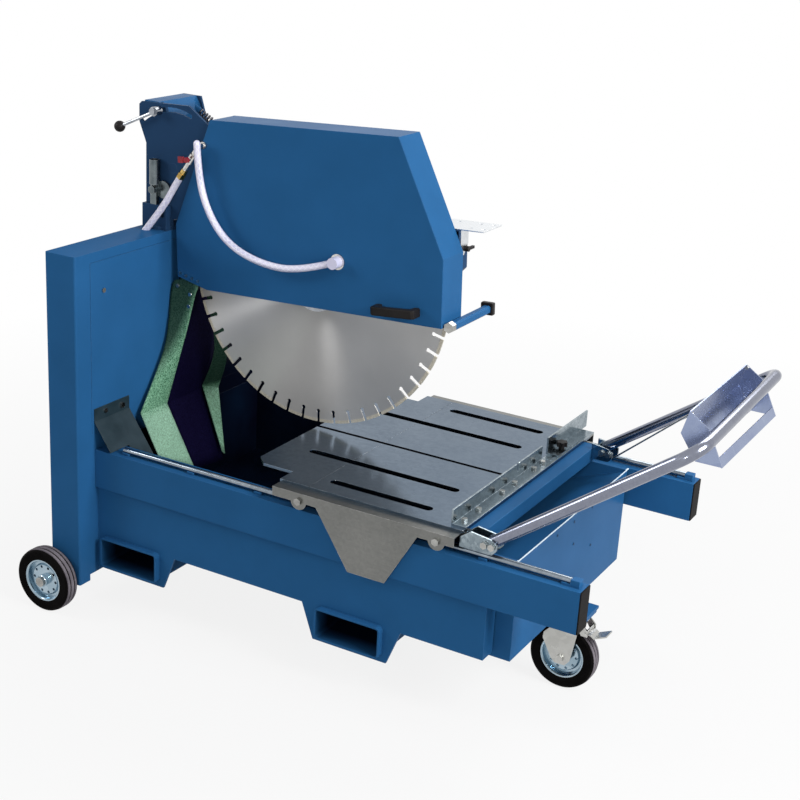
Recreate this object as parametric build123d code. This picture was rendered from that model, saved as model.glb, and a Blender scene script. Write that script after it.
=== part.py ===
from build123d import *
import math
import os

# Wet stone saw. Millimetres, +Z up, +X towards the operator, floor at z = 0.
# While building, x = 0 is the front face of the post and y = 0 the middle of the frame.

# Frame
frame_width = 920
beam_length = 1570
beam_width = 60
beam_height = 120
beam_wall = 4
beam_base = 388
cap_thickness = 4
cap_plug = 20
slip_gap = 0.2
fit_gap = 0.3
beam_top = beam_base + beam_height
beam_y = (frame_width - beam_width) / 2

# Guide rails on the beams
rail_radius = 9
rail_lift = 2
rail_start = 90
rail_end = 1530
clip_count = 7
clip_length = 24
clip_width = 26
clip_height = 7
stop_length = 26
stop_height = 20
rail_z = beam_top + rail_lift + rail_radius

# Post
post_depth = 110
post_width = 1070
post_base = 85
post_top = 1110
post_wall = 6
post_corner = 6
post_leg = 48
post_arch = 105
cover_width = 940
cover_base = 560
cover_top = 1080
cover_thickness = 3
cover_frame = 25
screw_y = 414
screw_heights = (620, 990)

# Splash deflector on the post
deflector_top = 636
deflector_bend = 596
deflector_fall = 1.39
deflector_reach = 60
deflector_deep = 98
deflector_inset = 73
deflector_width = 159
deflector_sheet = 3
deflector_near = -post_width / 2 + deflector_inset
deflector_far = deflector_near + deflector_width

# Skid plates and fork pockets
skid_thickness = 8
skid_inset = 12
skid_base = 118
plate_base = 224
plate_end = 1310
skid_ramp = 40
pocket_x = 128
pocket_spacing = 770
pocket_width = 200
pocket_height = 84
pocket_wall = 6
pocket_z = 181.5
pocket_corner = 8
pocket_proud = 20
pocket_margin = 20
skid_flange = 58
skid_outer = frame_width / 2 - skid_inset

# Water tub
tub_length = 1361
tub_half = 385
tub_floor = 240
sump_floor = 208
sump_start = tub_length - 301
sump_end = tub_length - 161
tub_wall = 3
slope_run = 205
slope_drop = 85
pump_x = tub_length - 99
pump_y = 150
pump_radius = 50
pump_height = 118
pump_foot = 12
tub_lip = beam_y - beam_width / 2 - tub_half

# Wheels
wheel_radius = 100
wheel_width = 50
rim_radius = 66
rim_lip = 4
hub_radius = 18
dish_depth = 18
rim_hole = 4.5
rim_hole_count = 10
tread_groove = 8
groove_width = 4
groove_depth = 3
axle_radius = 10
wheel_gap = 12
rear_wheel_x = -95
running_gap = 0.05
rear_wheel_y = post_width / 2 + wheel_gap + wheel_width / 2

# Swivel caster
king_x = tub_length + 56
king_y = -70
caster_trail = 22
caster_axle_radius = 6
caster_plate_size = 92
caster_plate_top = sump_floor + 35
caster_plate_thickness = 6
bracket_thickness = 8
bracket_width = 104
race_radius = 34
race_height = 6
race_gap = 0.4
king_radius = 8
crown_thickness = 5
leg_gap = 4
leg_thickness = 4
pedal_pivot = (king_x + 45, sump_floor - 11)
pedal_width = 44
pedal_pin = 4

# Head pivot and tower
pivot_z = 1300
head_raise = 3
shaft_radius = 15
tower_sheet = 8
foot_height = 75
tower_near = -92
tower_far = 108
tower_top = 1492
slot_radius = 173
slot_from = 69
slot_sweep = 60.5
slot_width = 14
clamp_angle = 107.5
stud_radius = 6
roof_sheet = 3
roof_top = tower_top - 3
roof_front = (-25, tower_top - 63)
roof_rear = (-118, tower_top - 52)

# Blade, in the level position of the head
blade_x = 467
blade_y = -20
blade_z = 1000
blade_radius = 440
blade_thickness = 4
segment_height = 10
segment_thickness = 5
segment_count = 48
gullet_width = 10
gullet_depth = 24
keyhole_radius = 6.5
bore_radius = 17.5
flange_radius = 90
flange_thickness = 14
nut_radius = 30
nut_height = 20

# Guard, in the level position of the head
guard_near = -100
guard_far = 20
guard_sheet = 3
guard_rear = 10
guard_front = 926
guard_bottom = 938
guard_top = 1457
guard_knee = (1133, 148)
spindle_hole = 50
bar_size = 24
bar_gap = 5
bar_base = 930
grip_z = 974

# Arm, spindle housing and belt drive
arm_width = 36
arm_depth = 90
hub_outer = 35
housing_radius = 48
bearing_radius = 36
bearing_width = 17
housing_end = 60
horn_half = 16
horn_reach = 183
horn_near = -80
horn_thickness = 12
motor_x = 560
motor_z = 1210
motor_radius = 92
motor_length = 204
fin_count = 24
fin_height = 6
belt_box_base = 56
belt_box_lid = 110
lid_thickness = 6
pulley_near = 66
pulley_far = 100
spindle_pulley = 60
motor_pulley_radius = 45
motor_shaft = 14
belt_thickness = 5
belt_gap = 0.3

# Table
table_top = 570
table_sheet = 8
table_rear = 505
table_front = 1214
table_half = 430
table_wing = 366
blade_gap = 14
table_seam = 735
seam_gap = 1
slot_half = 14
slot_end = 1085
outer_slot = (762, 358)
inner_slot = (593, 203)
channel_start = 642
channel_end = 1255
web_end = 1210
channel_outer = 470
channel_inner = 390
channel_sheet = 3
channel_height = 27
skirt_top = (783, 1102)
skirt_bottom = (894, 1010)
skirt_base = 372
roller_x = (728, 1158)
roller_groove = 10
roller_outer = 15
roller_half = 17
groove_half = 9
roller_gap = 0.3
roller_bolt = 6
lug_radius = 25
tube_start = 1207
tube_end = 1255
tube_base = 518
tube_wall = 4
channel_top = table_top - table_sheet
roller_z = rail_z + rail_radius + roller_groove + roller_gap

# Fence
fence_x = 1171
fence_sheet = 5
fence_leg = 40
fence_near = -415
fence_split = 150
fence_far = 454
fence_height = 45
stop_near = 190
stop_far = 487
stop_leg = 53
knob_y = 252
knob_x = 1194
knob_radius = 17
knob_stud = 4

# Handle
handle_tube = 16.5
handle_foot = (1290, 553)
handle_bar = (1810, 940)
handle_near = -427
handle_far_bar = 230
handle_far_foot = 372
far_bar_rise = 22
far_foot_rise = 18
handle_bend = 60
bracket_start = 1216
bracket_end = 1323
bracket_base = 534
bracket_top = 584
bracket_sheet = 6
bracket_gap = 17.5
far_bracket_gap = 22
box_section = ((1744, 998), (1728, 937), (1773, 873), (1842, 873), (1798, 962))
box_near = -326
box_far = 128
box_sheet = 3
box_lip = 26
tie_radius = 2.5
tie_y = -150

# Water line
hose_radius = 10.5
valve_start = (49, 1280)
valve_end = (125, 1380)
valve_y = -122
valve_pivot = (95, 1340)
valve_reach = 28
gland_at = (587, 1088)
gland_radius = 17

# Buffer spring between the front of the tower's cover and a lug on the arm
spring_start = (-26, 1445)
spring_end = (20, 1421)
spring_y = 80
spring_radius = 7
spring_wire = 1.6
spring_turns = 5
seat_radius = 10
seat_gap = 2.2
lug_half = 10

# Curtains, with the head at rest
strip_thickness = 4
strip_steps = 6
knee_x = 25
knee_z = 567


def block(x, y, z):
    """Box from three (low, high) pairs."""
    size = (x[1] - x[0], y[1] - y[0], z[1] - z[0])
    middle = ((x[0] + x[1]) / 2, (y[0] + y[1]) / 2, (z[0] + z[1]) / 2)
    return Pos(*middle) * Box(*size)


def polygon(points):
    return make_face(Polyline(*points, close=True))


def plane_xz(y):
    """Plane across the machine with local x along X and local y along Z, facing -Y."""
    return Plane(origin=(0, y, 0), x_dir=(1, 0, 0), z_dir=(0, -1, 0))


def plane_yz(x):
    return Plane(origin=(x, 0, 0), x_dir=(0, 1, 0), z_dir=(1, 0, 0))


def prism_xz(points, low, high):
    """Outline in X and Z, pulled along Y from low to high."""
    return extrude(plane_xz(high) * polygon(points), amount=high - low)


def prism_yz(points, low, high):
    return extrude(plane_yz(low) * polygon(points), amount=high - low)


def prism_xy(points, low, high):
    return extrude(Plane.XY.offset(low) * polygon(points), amount=high - low)


def rod(start, end, radius):
    """Round bar between two points."""
    way = Vector(*end) - Vector(*start)
    return extrude(Plane(origin=start, z_dir=way) * Circle(radius), amount=way.length)


def rod_y(x, z, radius, low, high):
    return rod((x, low, z), (x, high, z), radius)


def hexagon(start, end, radius):
    way = Vector(*end) - Vector(*start)
    return extrude(Plane(origin=start, z_dir=way) * RegularPolygon(radius, 6), amount=way.length)


def turned(profile, centre):
    """Profile of (radius, along Y) points turned about a line along Y through the centre."""
    face = Plane.XY * polygon(profile)
    return Pos(*centre) * revolve(face, Axis.Y)


def mirrored(shape):
    return mirror(shape, about=Plane.XZ)


def both_sides(shape):
    return [shape, mirrored(shape)]


def strip(points, thickness):
    """Closed outline of a bent sheet: the points, and the same line moved to its left by the thickness."""
    moved = []
    for i, (x, z) in enumerate(points):
        before = points[max(i - 1, 0)]
        after = points[min(i + 1, len(points) - 1)]
        normals = []
        for a, b in ((before, (x, z)), ((x, z), after)):
            length = math.hypot(b[0] - a[0], b[1] - a[1])
            if length > 0:
                normals.append((-(b[1] - a[1]) / length, (b[0] - a[0]) / length))
        nx = sum(n[0] for n in normals)
        nz = sum(n[1] for n in normals)
        scale = thickness * len(normals) / (nx * nx + nz * nz)
        moved.append((x + nx * scale, z + nz * scale))
    return list(points) + moved[::-1]


def raised(shape):
    """Turn a piece of the level head up to the position it rests in."""
    return shape.rotate(Axis((0, 0, pivot_z), (0, -1, 0)), head_raise)


def raised_point(x, z):
    """Where a point of the level head lies at rest."""
    turn = math.radians(head_raise)
    dx = x
    dz = z - pivot_z
    return (dx * math.cos(turn) - dz * math.sin(turn), pivot_z + dx * math.sin(turn) + dz * math.cos(turn))


def bent_tube(points, radii, radius):
    """Round tube along straight runs joined by tangent arcs."""
    path = FilletPolyline(*points, radius=radii)
    section = Plane(origin=path @ 0, z_dir=path % 0) * Circle(radius)
    tube = sweep(section, path=path)
    ratio = tube.volume / (math.pi * radius ** 2 * path.length)
    print("tube", round(path.length), "mm, volume ratio", round(ratio, 3))
    return tube


def hose_radii(points):
    """Bend radius at every inner point: 0.45 of the shorter run over the tangent of half the turn."""
    radii = []
    for a, b, c in zip(points, points[1:], points[2:]):
        first = Vector(*b) - Vector(*a)
        second = Vector(*c) - Vector(*b)
        half_turn = math.radians(first.get_angle(second)) / 2
        radii.append(0.45 * min(first.length, second.length) / math.tan(half_turn))
    print("bend radii", [round(r) for r in radii])
    return radii


# Frame pieces

def make_beams():
    """Hollow beam with the rail clips and the end stop welded on top, once per side."""
    low = -frame_width / 2
    high = low + beam_width
    tube_length = beam_length - cap_thickness
    beam = block((0, tube_length), (low, high), (beam_base, beam_top))
    hollow_z = (beam_base + beam_wall, beam_top - beam_wall)
    beam -= block((-1, beam_length), (low + beam_wall, high - beam_wall), hollow_z)
    pieces = [beam]
    pitch = (rail_end - rail_start - clip_length) / (clip_count - 1)
    rail = rod((0, -beam_y, rail_z), (beam_length, -beam_y, rail_z), rail_radius)
    across = (-beam_y - clip_width / 2, -beam_y + clip_width / 2)
    for i in range(clip_count):
        start = rail_start + i * pitch
        clip = block((start, start + clip_length), across, (beam_top, beam_top + clip_height))
        pieces.append(clip - rail)
    pieces.append(block((rail_end, rail_end + stop_length), across, (beam_top, beam_top + stop_height)))
    return pieces + [mirrored(p) for p in pieces]


def make_end_caps():
    low = -frame_width / 2
    high = low + beam_width
    end = beam_length - cap_thickness
    inset = beam_wall + slip_gap
    cap = block((end, beam_length), (low, high), (beam_base, beam_top))
    plug = block((end - cap_plug, end), (low + inset, high - inset), (beam_base + inset, beam_top - inset))
    return both_sides(fillet((cap + plug).edges().group_by(Axis.X)[-1], 2))


def make_rails():
    return both_sides(rod((rail_start, -beam_y, rail_z), (rail_end, -beam_y, rail_z), rail_radius))


def pocket_centres():
    return (pocket_x, pocket_x + pocket_spacing)


def make_skid_plates():
    """Side plate with two feet under the fork pockets and a folded front end, once per side."""
    outline = [(0, beam_base), (0, skid_base)]
    for i, centre in enumerate(pocket_centres()):
        half = pocket_width / 2 + pocket_margin
        if i > 0:
            outline += [(centre - half - skid_ramp, plate_base), (centre - half, skid_base)]
        outline += [(centre + half, skid_base), (centre + half + skid_ramp, plate_base)]
    outline += [(plate_end, plate_base), (plate_end, beam_base)]
    plate = prism_xz(outline, -skid_outer, -skid_outer + skid_thickness)
    flange = (-skid_outer, -skid_outer + skid_flange)
    plate += block((plate_end - skid_thickness, plate_end), flange, (plate_base, beam_base))
    for centre in pocket_centres():
        plate -= pocket_bar(centre, pocket_wall)
    return both_sides(plate)


def pocket_bar(centre, grow):
    """Solid of the pocket opening, widened all round by grow."""
    section = RectangleRounded(pocket_width + 2 * grow, pocket_height + 2 * grow, pocket_corner + grow)
    reach = skid_outer + pocket_proud
    return extrude(plane_xz(reach) * Pos(centre, pocket_z) * section, amount=2 * reach)


def make_fork_pockets():
    return [pocket_bar(c, pocket_wall) - pocket_bar(c, 0) for c in pocket_centres()]


def make_tub():
    """Sheet tub, deeper at the operator end, with side lips and a sloped splash panel under its end fold."""
    t = tub_wall
    outer = [(0, beam_top), (0, tub_floor), (sump_start, tub_floor), (sump_end, sump_floor),
             (tub_length, sump_floor), (tub_length, beam_top)]
    inner = [(t, beam_top + 1), (t, tub_floor + t), (sump_start + t / 8, tub_floor + t),
             (sump_end + t / 8, sump_floor + t), (tub_length - t, sump_floor + t), (tub_length - t, beam_top + 1)]
    tub = prism_xz(outer, -tub_half, tub_half) - prism_xz(inner, -tub_half + t, tub_half - t)
    for side in (-1, 1):
        edges = sorted((side * tub_half, side * (tub_half + tub_lip)))
        tub += block((0, tub_length), edges, (beam_top - t, beam_top))
    fold = tub_length - t / 2
    low = beam_top - slope_drop
    high = beam_top - 2 * t
    panel = [(fold - slope_run, low), (fold, high), (fold, high + t), (fold - slope_run, low + t)]
    return [tub + prism_xz(panel, -tub_half + t / 2, tub_half - t / 2)]


def make_post():
    """Hollow upright on two legs, with a rebate for the front cover and an access window behind it."""
    half = post_width / 2
    post = block((-post_depth, 0), (-half, half), (post_base, post_top))
    post = fillet(post.edges().filter_by(Axis.Z), post_corner)
    t = post_wall
    post -= block((-post_depth + t, -t), (-half + t, half - t), (post_base - 1, post_top - t))
    post -= block((-post_depth - 1, 1), (-half + post_leg, half - post_leg), (post_base - 1, post_arch))
    post -= block((-cover_thickness, 1), (-cover_width / 2, cover_width / 2), (cover_base, cover_top))
    window = cover_width / 2 - cover_frame
    post -= block((-2 * t, 1), (-window, window), (cover_base + cover_frame, cover_top - cover_frame))
    return [post]


def make_post_cover():
    half = cover_width / 2 - slip_gap
    return [block((-cover_thickness, 0), (-half, half), (cover_base + slip_gap, cover_top - slip_gap))]


def make_deflector():
    """Flange on the post and a sheet falling over the beam's end, longer where it dips into the tub."""
    inside = -tub_half + tub_wall + 4
    pieces = []
    for reach, sides in ((deflector_reach, (deflector_near, inside)), (deflector_deep, (inside, deflector_far))):
        low = deflector_bend - deflector_fall * reach
        line = [(deflector_sheet + reach, low), (deflector_sheet, deflector_bend), (deflector_sheet, deflector_top)]
        pieces.append(prism_xz(strip(line, deflector_sheet), *sides))
    return [pieces[0] + pieces[1]]


def make_pump():
    """Submersible pump in the deep end of the tub, under the splash panel."""
    low = sump_floor + tub_wall
    shoulder = low + pump_foot + pump_height
    body = rod((pump_x, pump_y, low + pump_foot), (pump_x, pump_y, shoulder), pump_radius)
    body += rod((pump_x, pump_y, shoulder), (pump_x, pump_y, shoulder + 20), pump_radius * 0.7)
    spout = pump_y + pump_radius * 0.4
    body += rod((pump_x, spout, shoulder + 20), (pump_x, spout, shoulder + 50), 12)
    for place in PolarLocations(pump_radius * 0.75, 4, start_angle=45):
        body += Pos(pump_x, pump_y, low + pump_foot / 2) * place * Cylinder(8, pump_foot)
    return [body]


def make_frame_bolts():
    """Cover screws, the deflector's bolt, and the two rear axles with their round caps."""
    pieces = []
    for side in (-1, 1):
        for height in screw_heights:
            # The near lower screw goes through the deflector's flange.
            face = deflector_sheet if side < 0 and deflector_bend < height < deflector_top else 0
            pieces.append(rod((face, side * screw_y, height), (face + 4, side * screw_y, height), 7))
        start = (rear_wheel_x, side * post_width / 2, wheel_radius)
        outer = side * (rear_wheel_y + wheel_width / 2 + 3)
        end = (rear_wheel_x, outer, wheel_radius)
        cap = (rear_wheel_x, outer + side * 8, wheel_radius)
        pieces.append(rod(start, end, axle_radius) + rod(end, cap, axle_radius + 5))
    flange_z = (deflector_top + deflector_bend) / 2
    y = deflector_far - 36
    pieces.append(hexagon((deflector_sheet, y, flange_z), (deflector_sheet + 6, y, flange_z), 9))
    return pieces


# Wheels

def make_tyre(centre):
    """Solid tyre with two grooves round its tread."""
    half = wheel_width / 2
    profile = [(rim_radius, -half + 3), (wheel_radius - 8, -half), (wheel_radius - 2, -half + 5)]
    for middle in (-tread_groove, tread_groove):
        low = middle - groove_width / 2
        high = middle + groove_width / 2
        floor = wheel_radius - groove_depth
        profile += [(wheel_radius, low - 1), (floor, low), (floor, high), (wheel_radius, high + 1)]
    profile += [(wheel_radius - 2, half - 5), (wheel_radius - 8, half), (rim_radius, half - 3)]
    return [turned(profile, centre)]


def make_rim(centre, bore):
    """Pressed rim: rolled lip, concave ring, drilled inner disc and a round hub, alike on both faces."""
    hub = wheel_width / 2 + 2
    lip = wheel_width / 2 - 3
    valley = lip - dish_depth
    face = [(bore, hub), (hub_radius - 2, hub), (hub_radius, hub - 2), (hub_radius, lip / 2 + 1),
            (rim_radius - 20, lip / 2), (rim_radius - 15, valley), (rim_radius - 9, valley),
            (rim_radius - 6, lip - 3), (rim_radius - rim_lip, lip), (rim_radius, lip)]
    rim = turned(face + [(radius, -y) for radius, y in face[::-1]], (0, 0, 0))
    hole = rod_y(0.62 * rim_radius, 0, rim_hole, -lip, lip)
    for i in range(rim_hole_count):
        rim -= hole.rotate(Axis.Y, 360 / rim_hole_count * i)
    return [Pos(*centre) * rim]


def make_caster_mount():
    """Bracket plate on the tub's end wall, with the caster's top plate, bearing race and kingpin under it."""
    half = bracket_width / 2
    size = caster_plate_size / 2
    top = caster_plate_top + bracket_thickness
    bracket = block((tub_length, king_x + size), (king_y - half, king_y + half), (caster_plate_top, top))
    low = caster_plate_top - caster_plate_thickness
    plate = block((king_x - size, king_x + size), (king_y - size, king_y + size), (low, caster_plate_top))
    plate = fillet(plate.edges().filter_by(Axis.Z), 10)
    plate += rod((king_x, king_y, low - race_height), (king_x, king_y, low), race_radius)
    crown = low - race_height - race_gap - 2 * crown_thickness
    plate += rod((king_x, king_y, crown), (king_x, king_y, low), king_radius)
    return [bracket, plate]


def make_caster_fork():
    """Crown plate on the kingpin, two broad legs to the wheel axle, and ears for the pedal."""
    top = caster_plate_top - caster_plate_thickness - race_height - race_gap
    low = top - crown_thickness
    reach = wheel_width / 2 + leg_gap + leg_thickness
    fork = rod((king_x, king_y, low), (king_x, king_y, top), race_radius + 6)
    fork += block((king_x - 27, king_x + 28), (king_y - reach, king_y + reach), (low - crown_thickness, low))
    axle_x = king_x - caster_trail
    x, z = pedal_pivot
    # Above the underside of the tub the legs stay close to the kingpin, so that they turn clear of its wall.
    leg = [(king_x - 27, low), (king_x + 28, low), (axle_x + 29, wheel_radius - 2), (axle_x + 15, wheel_radius - 20),
           (axle_x - 15, wheel_radius - 20), (axle_x - 28, wheel_radius - 9), (axle_x - 59, wheel_radius + 48),
           (axle_x - 57, wheel_radius + 66)]
    ear = [(king_x + 8, low), (king_x + 28, low), (x + 6, z + 5), (x + 6, z - 9), (x - 12, z - 9)]
    for side in (-1, 1):
        edges = sorted((king_y + side * (reach - leg_thickness), king_y + side * reach))
        fork += prism_xz(leg, *edges)
        fork += prism_xz(ear, *edges)
    fork -= rod((king_x, king_y, low - 20), (king_x, king_y, top + 1), king_radius + running_gap)
    fork -= rod_y(x, z, pedal_pin + running_gap, king_y - 60, king_y + 60)
    fork += rod_y(axle_x, wheel_radius, caster_axle_radius, king_y - reach - 2, king_y + reach + 2)
    for side in (-1, 1):
        face = king_y + side * reach
        fork += hexagon((axle_x, face, wheel_radius), (axle_x, face + side * 7, wheel_radius), 11)
    return [fork]


def make_brake_pedal():
    """Foot plate on a cross pin, turned up at its tip, with the brake tongue over the tyre."""
    x, z = pedal_pivot
    half = pedal_width / 2
    line = [(x - 1, z - 13), (x, z - 7), (x + 12, z - 8), (x + 22, z - 15), (x + 60, z + 2)]
    pedal = prism_xz(strip(line, 4), king_y - half, king_y + half)
    reach = wheel_width / 2 + leg_gap + leg_thickness
    pedal += rod_y(x, z, pedal_pin, king_y - reach - 2, king_y + reach + 2)
    pedal += prism_xz([(x - 3, z - 5), (x + 5, z - 5), (x + 4, z), (x - 4, z)], king_y - half, king_y + half)
    return [pedal]


# Tower

def near_outline():
    """Near plate: its front edge runs inside the guard, behind the near cover."""
    return [(-101, post_top), (0, post_top), (0, post_top + 32), (34, post_top + 40), (68, pivot_z - 60),
            (126, pivot_z + 100), (132, tower_top - 50), (57, tower_top), (-118, tower_top - 7),
            (-127, tower_top - 16), (-127, tower_top - 67), (-101, pivot_z + 63)]


def far_outline():
    """Far plate: lower at the front, so that it ends behind the guard."""
    x, z = roof_front
    return [(-101, post_top), (0, post_top), (0, post_top + 40), (40, pivot_z - 60), (42, pivot_z + 20), (x, z),
            (-44, roof_top), (-113, roof_top), (-127, tower_top - 21), (-127, tower_top - 67), (-101, pivot_z + 63)]


def make_tower():
    """Two plates on the post joined by a foot box and a round collar; the near one has the arc slot."""
    near = prism_xz(near_outline(), tower_near, tower_near + tower_sheet)
    far = prism_xz(far_outline(), tower_far - tower_sheet, tower_far)
    arc = CenterArc((0, pivot_z), slot_radius, slot_from, slot_sweep)
    near -= extrude(plane_xz(tower_near + tower_sheet + 1) * SlotArc(arc, slot_width), amount=tower_sheet + 2)
    tower = near + far
    tower += block((-95, -12), (tower_near, tower_far), (post_top, post_top + 24))
    foot = block((-95, -5), (tower_near - 26, tower_near), (post_top, post_top + foot_height))
    foot -= block((-90, -10), (tower_near - 21, tower_near + 0.5), (post_top - 1, post_top + foot_height - 5))
    foot -= rod_y(-22, post_top + 48, 10, tower_near - 30, tower_near - 10)
    tower += foot
    tower += rod((-52, tower_near + 20, post_top), (-52, tower_near + 20, post_top + 10), 54)
    tower -= rod_y(0, pivot_z, shaft_radius + running_gap, tower_near - 1, tower_far + 1)
    return [tower]


def make_roof():
    """Folded cover between the plates: sloped front, flat top and short back, with the seat of the buffer spring."""
    line = [roof_front, (-60, roof_top), (-112, roof_top), roof_rear]
    low = tower_near + tower_sheet
    high = tower_far - tower_sheet
    # The clamp horn swings past the near end of the sloped front.
    front_low = horn_near + horn_thickness + 4
    roof = prism_xz(strip(line[1:], roof_sheet), low, front_low) + prism_xz(strip(line, roof_sheet), front_low, high)
    (x0, z0), (x1, z1) = spring_start, spring_end
    axis = Vector(x1 - x0, 0, z1 - z0).normalized()
    face = Vector(x0, spring_y, z0) - axis * seat_gap
    seat = rod(tuple(face - axis * 30), tuple(face), seat_radius)
    foot = roof_front[1] - 60
    behind = [roof_front, (-60, roof_top), (-160, roof_top), (-160, foot), (roof_front[0], foot)]
    return [roof + (seat - prism_xz(behind, low, high))]


def make_lift_socket():
    """Open tube on a clevis with a cross bolt and a round disc, standing on the foot box."""
    y = tower_near - 17
    base = post_top + foot_height
    bolt = base + 47
    low = bolt + 14
    socket = rod((-55, y, low), (-55, y, low + 75), 16) - rod((-55, y, low + 10), (-55, y, low + 80), 12)
    socket += block((-66, -44), (y - 7, y + 7), (base, low + 4))
    socket += rod_y(-51, bolt, 9, y - 15, y + 12)
    socket += hexagon((-51, y - 22, bolt), (-51, y - 14, bolt), 13)
    socket += rod_y(-28, bolt, 26, y + 4, y + 12)
    return [socket]


def clamp_centre():
    turn = math.radians(clamp_angle)
    return (slot_radius * math.cos(turn), pivot_z + slot_radius * math.sin(turn))


def make_clamp_lever():
    """Stud through the arc slot, clamping hub outside the plate, and the lever rod."""
    x, z = clamp_centre()
    lever = rod_y(x, z, stud_radius, tower_near - 4, horn_near + horn_thickness)
    lever += rod_y(x, z, 14, tower_near - 28, tower_near - 1)
    lever += hexagon((x, tower_near - 36, z), (x, tower_near - 28, z), 11)
    lever += rod((x, tower_near - 16, z), (-170, tower_near - 26, 1409), 5)
    return [lever]


def make_clamp_knob():
    ball = Pos(-180, tower_near - 26.7, 1404.3) * Sphere(17)
    x, z = clamp_centre()
    return [ball - rod((x, tower_near - 16, z), (-170, tower_near - 26, 1409), 5)]


# Head, built level and then raised

def guard_outline():
    rear_z, rear_x = guard_knee
    return [(guard_rear, guard_bottom + 32), (guard_rear, rear_z), (rear_x, guard_top - 2), (781, guard_top + 2),
            (guard_front, 1135), (guard_front - 2, guard_bottom), (118, guard_bottom + 3)]


def shrunk(points, amount):
    """The closed outline moved inwards."""
    face = offset(polygon(points), -amount, kind=Kind.INTERSECTION)
    return face


def make_guard_shell():
    """Far wall and rim of the guard, open below, at the back above the post, and on the near side."""
    low = guard_near + guard_sheet
    shell = prism_xz(guard_outline(), low, guard_far)
    hollow = plane_xz(guard_far - guard_sheet) * shrunk(guard_outline(), guard_sheet)
    shell -= extrude(hollow, amount=guard_far - guard_near)
    inside = guard_far - guard_sheet
    lip = guard_bottom + 36
    mouth = [(guard_rear - 30, lip), (guard_front - 6, lip), (guard_front - 6, guard_bottom - 38),
             (guard_rear - 30, guard_bottom - 38)]
    shell -= prism_xz(mouth, low - 1, inside)
    rear_low = guard_knee[0] + 3
    back = [(-40, rear_low), (guard_rear + 10, rear_low), (guard_knee[1] + 4, guard_top - 8),
            (guard_knee[1] - 2, guard_top + 23), (0, guard_top + 23)]
    shell -= prism_xz(back, low - 1, inside)
    shell -= rod_y(blade_x, blade_z, spindle_hole, inside - 1, guard_far + 1)
    return [raised(shell)]


def make_guard_cover():
    return [raised(prism_xz(guard_outline(), guard_near, guard_near + guard_sheet))]


def make_arm():
    """Box arm from the pivot hub to the spindle housing, with the pivot shaft and the clamp horn."""
    low = guard_far
    high = guard_far + arm_width
    length = math.hypot(blade_x, pivot_z - blade_z)
    tilt = math.degrees(math.atan2(pivot_z - blade_z, blade_x))
    beam = block((0, length), (low, high), (-arm_depth / 2, arm_depth / 2))
    arm = Pos(0, 0, pivot_z) * beam.rotate(Axis.Y, tilt)
    arm += rod_y(0, pivot_z, hub_outer, tower_near + tower_sheet + 4, tower_far - tower_sheet - 4)
    arm += rod_y(0, pivot_z, shaft_radius, tower_near, tower_far)
    arm += rod_y(blade_x, blade_z, housing_radius, low, housing_end)
    arm -= rod_y(blade_x, blade_z, bearing_radius + 0.02, low + 2, housing_end + 1)
    arm -= rod_y(blade_x, blade_z, bearing_radius - 8, low - 1, housing_end)
    horn = block((-horn_half, horn_half), (horn_near, horn_near + horn_thickness), (0, horn_reach))
    horn -= rod_y(0, slot_radius, stud_radius + running_gap, horn_near - 1, 0)
    arm += Pos(0, 0, pivot_z) * horn.rotate(Axis.Y, 90 - (clamp_angle - head_raise))
    return [raised(arm) + spring_lug()]


def spring_lug():
    """Plate from the hub up to the end of the buffer spring, in the position at rest."""
    (x0, z0), (x1, z1) = spring_start, spring_end
    length = math.hypot(x1 - x0, z1 - z0)
    along = ((x1 - x0) / length, (z1 - z0) / length)
    face = (x1 + along[0] * seat_gap, z1 + along[1] * seat_gap)
    across = (-along[1] * seat_radius, along[0] * seat_radius)
    upper = (face[0] + across[0], face[1] + across[1])
    lower = (face[0] - across[0], face[1] - across[1])
    outline = [(-hub_outer / 2, pivot_z + 20), (hub_outer / 2, pivot_z + 20), (lower[0] + 16, lower[1]),
               (upper[0] + 10, upper[1]), upper, lower]
    return prism_xz(outline, spring_y - lug_half, spring_y + lug_half)


def make_bearings():
    pieces = []
    for low in (guard_far + 2.2, housing_end - bearing_width):
        ring = rod_y(blade_x, blade_z, bearing_radius, low, low + bearing_width)
        pieces.append(raised(ring - rod_y(blade_x, blade_z, bore_radius + 0.03, low - 1, low + bearing_width + 1)))
    return pieces


def belt_box_outline():
    return [(385, 930), (545, 920), (640, 1180), (630, 1280), (500, 1280), (470, 1200), (385, 1040)]


def make_belt_box():
    """Tray on the arm round both pulleys, and the thick lid that carries the motor."""
    tray = prism_xz(belt_box_outline(), belt_box_base, belt_box_lid)
    inner = plane_xz(belt_box_lid + 1) * shrunk(belt_box_outline(), guard_sheet)
    tray -= extrude(inner, amount=belt_box_lid - belt_box_base - guard_sheet + 1)
    tray -= rod_y(blade_x, blade_z, housing_radius + 1, belt_box_base - 1, belt_box_base + guard_sheet + 1)
    lid = prism_xz(belt_box_outline(), belt_box_lid, belt_box_lid + lid_thickness)
    lid -= rod_y(motor_x, motor_z, motor_shaft + 6, belt_box_lid - 1, belt_box_lid + lid_thickness + 1)
    return [raised(tray), raised(lid)]


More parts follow.
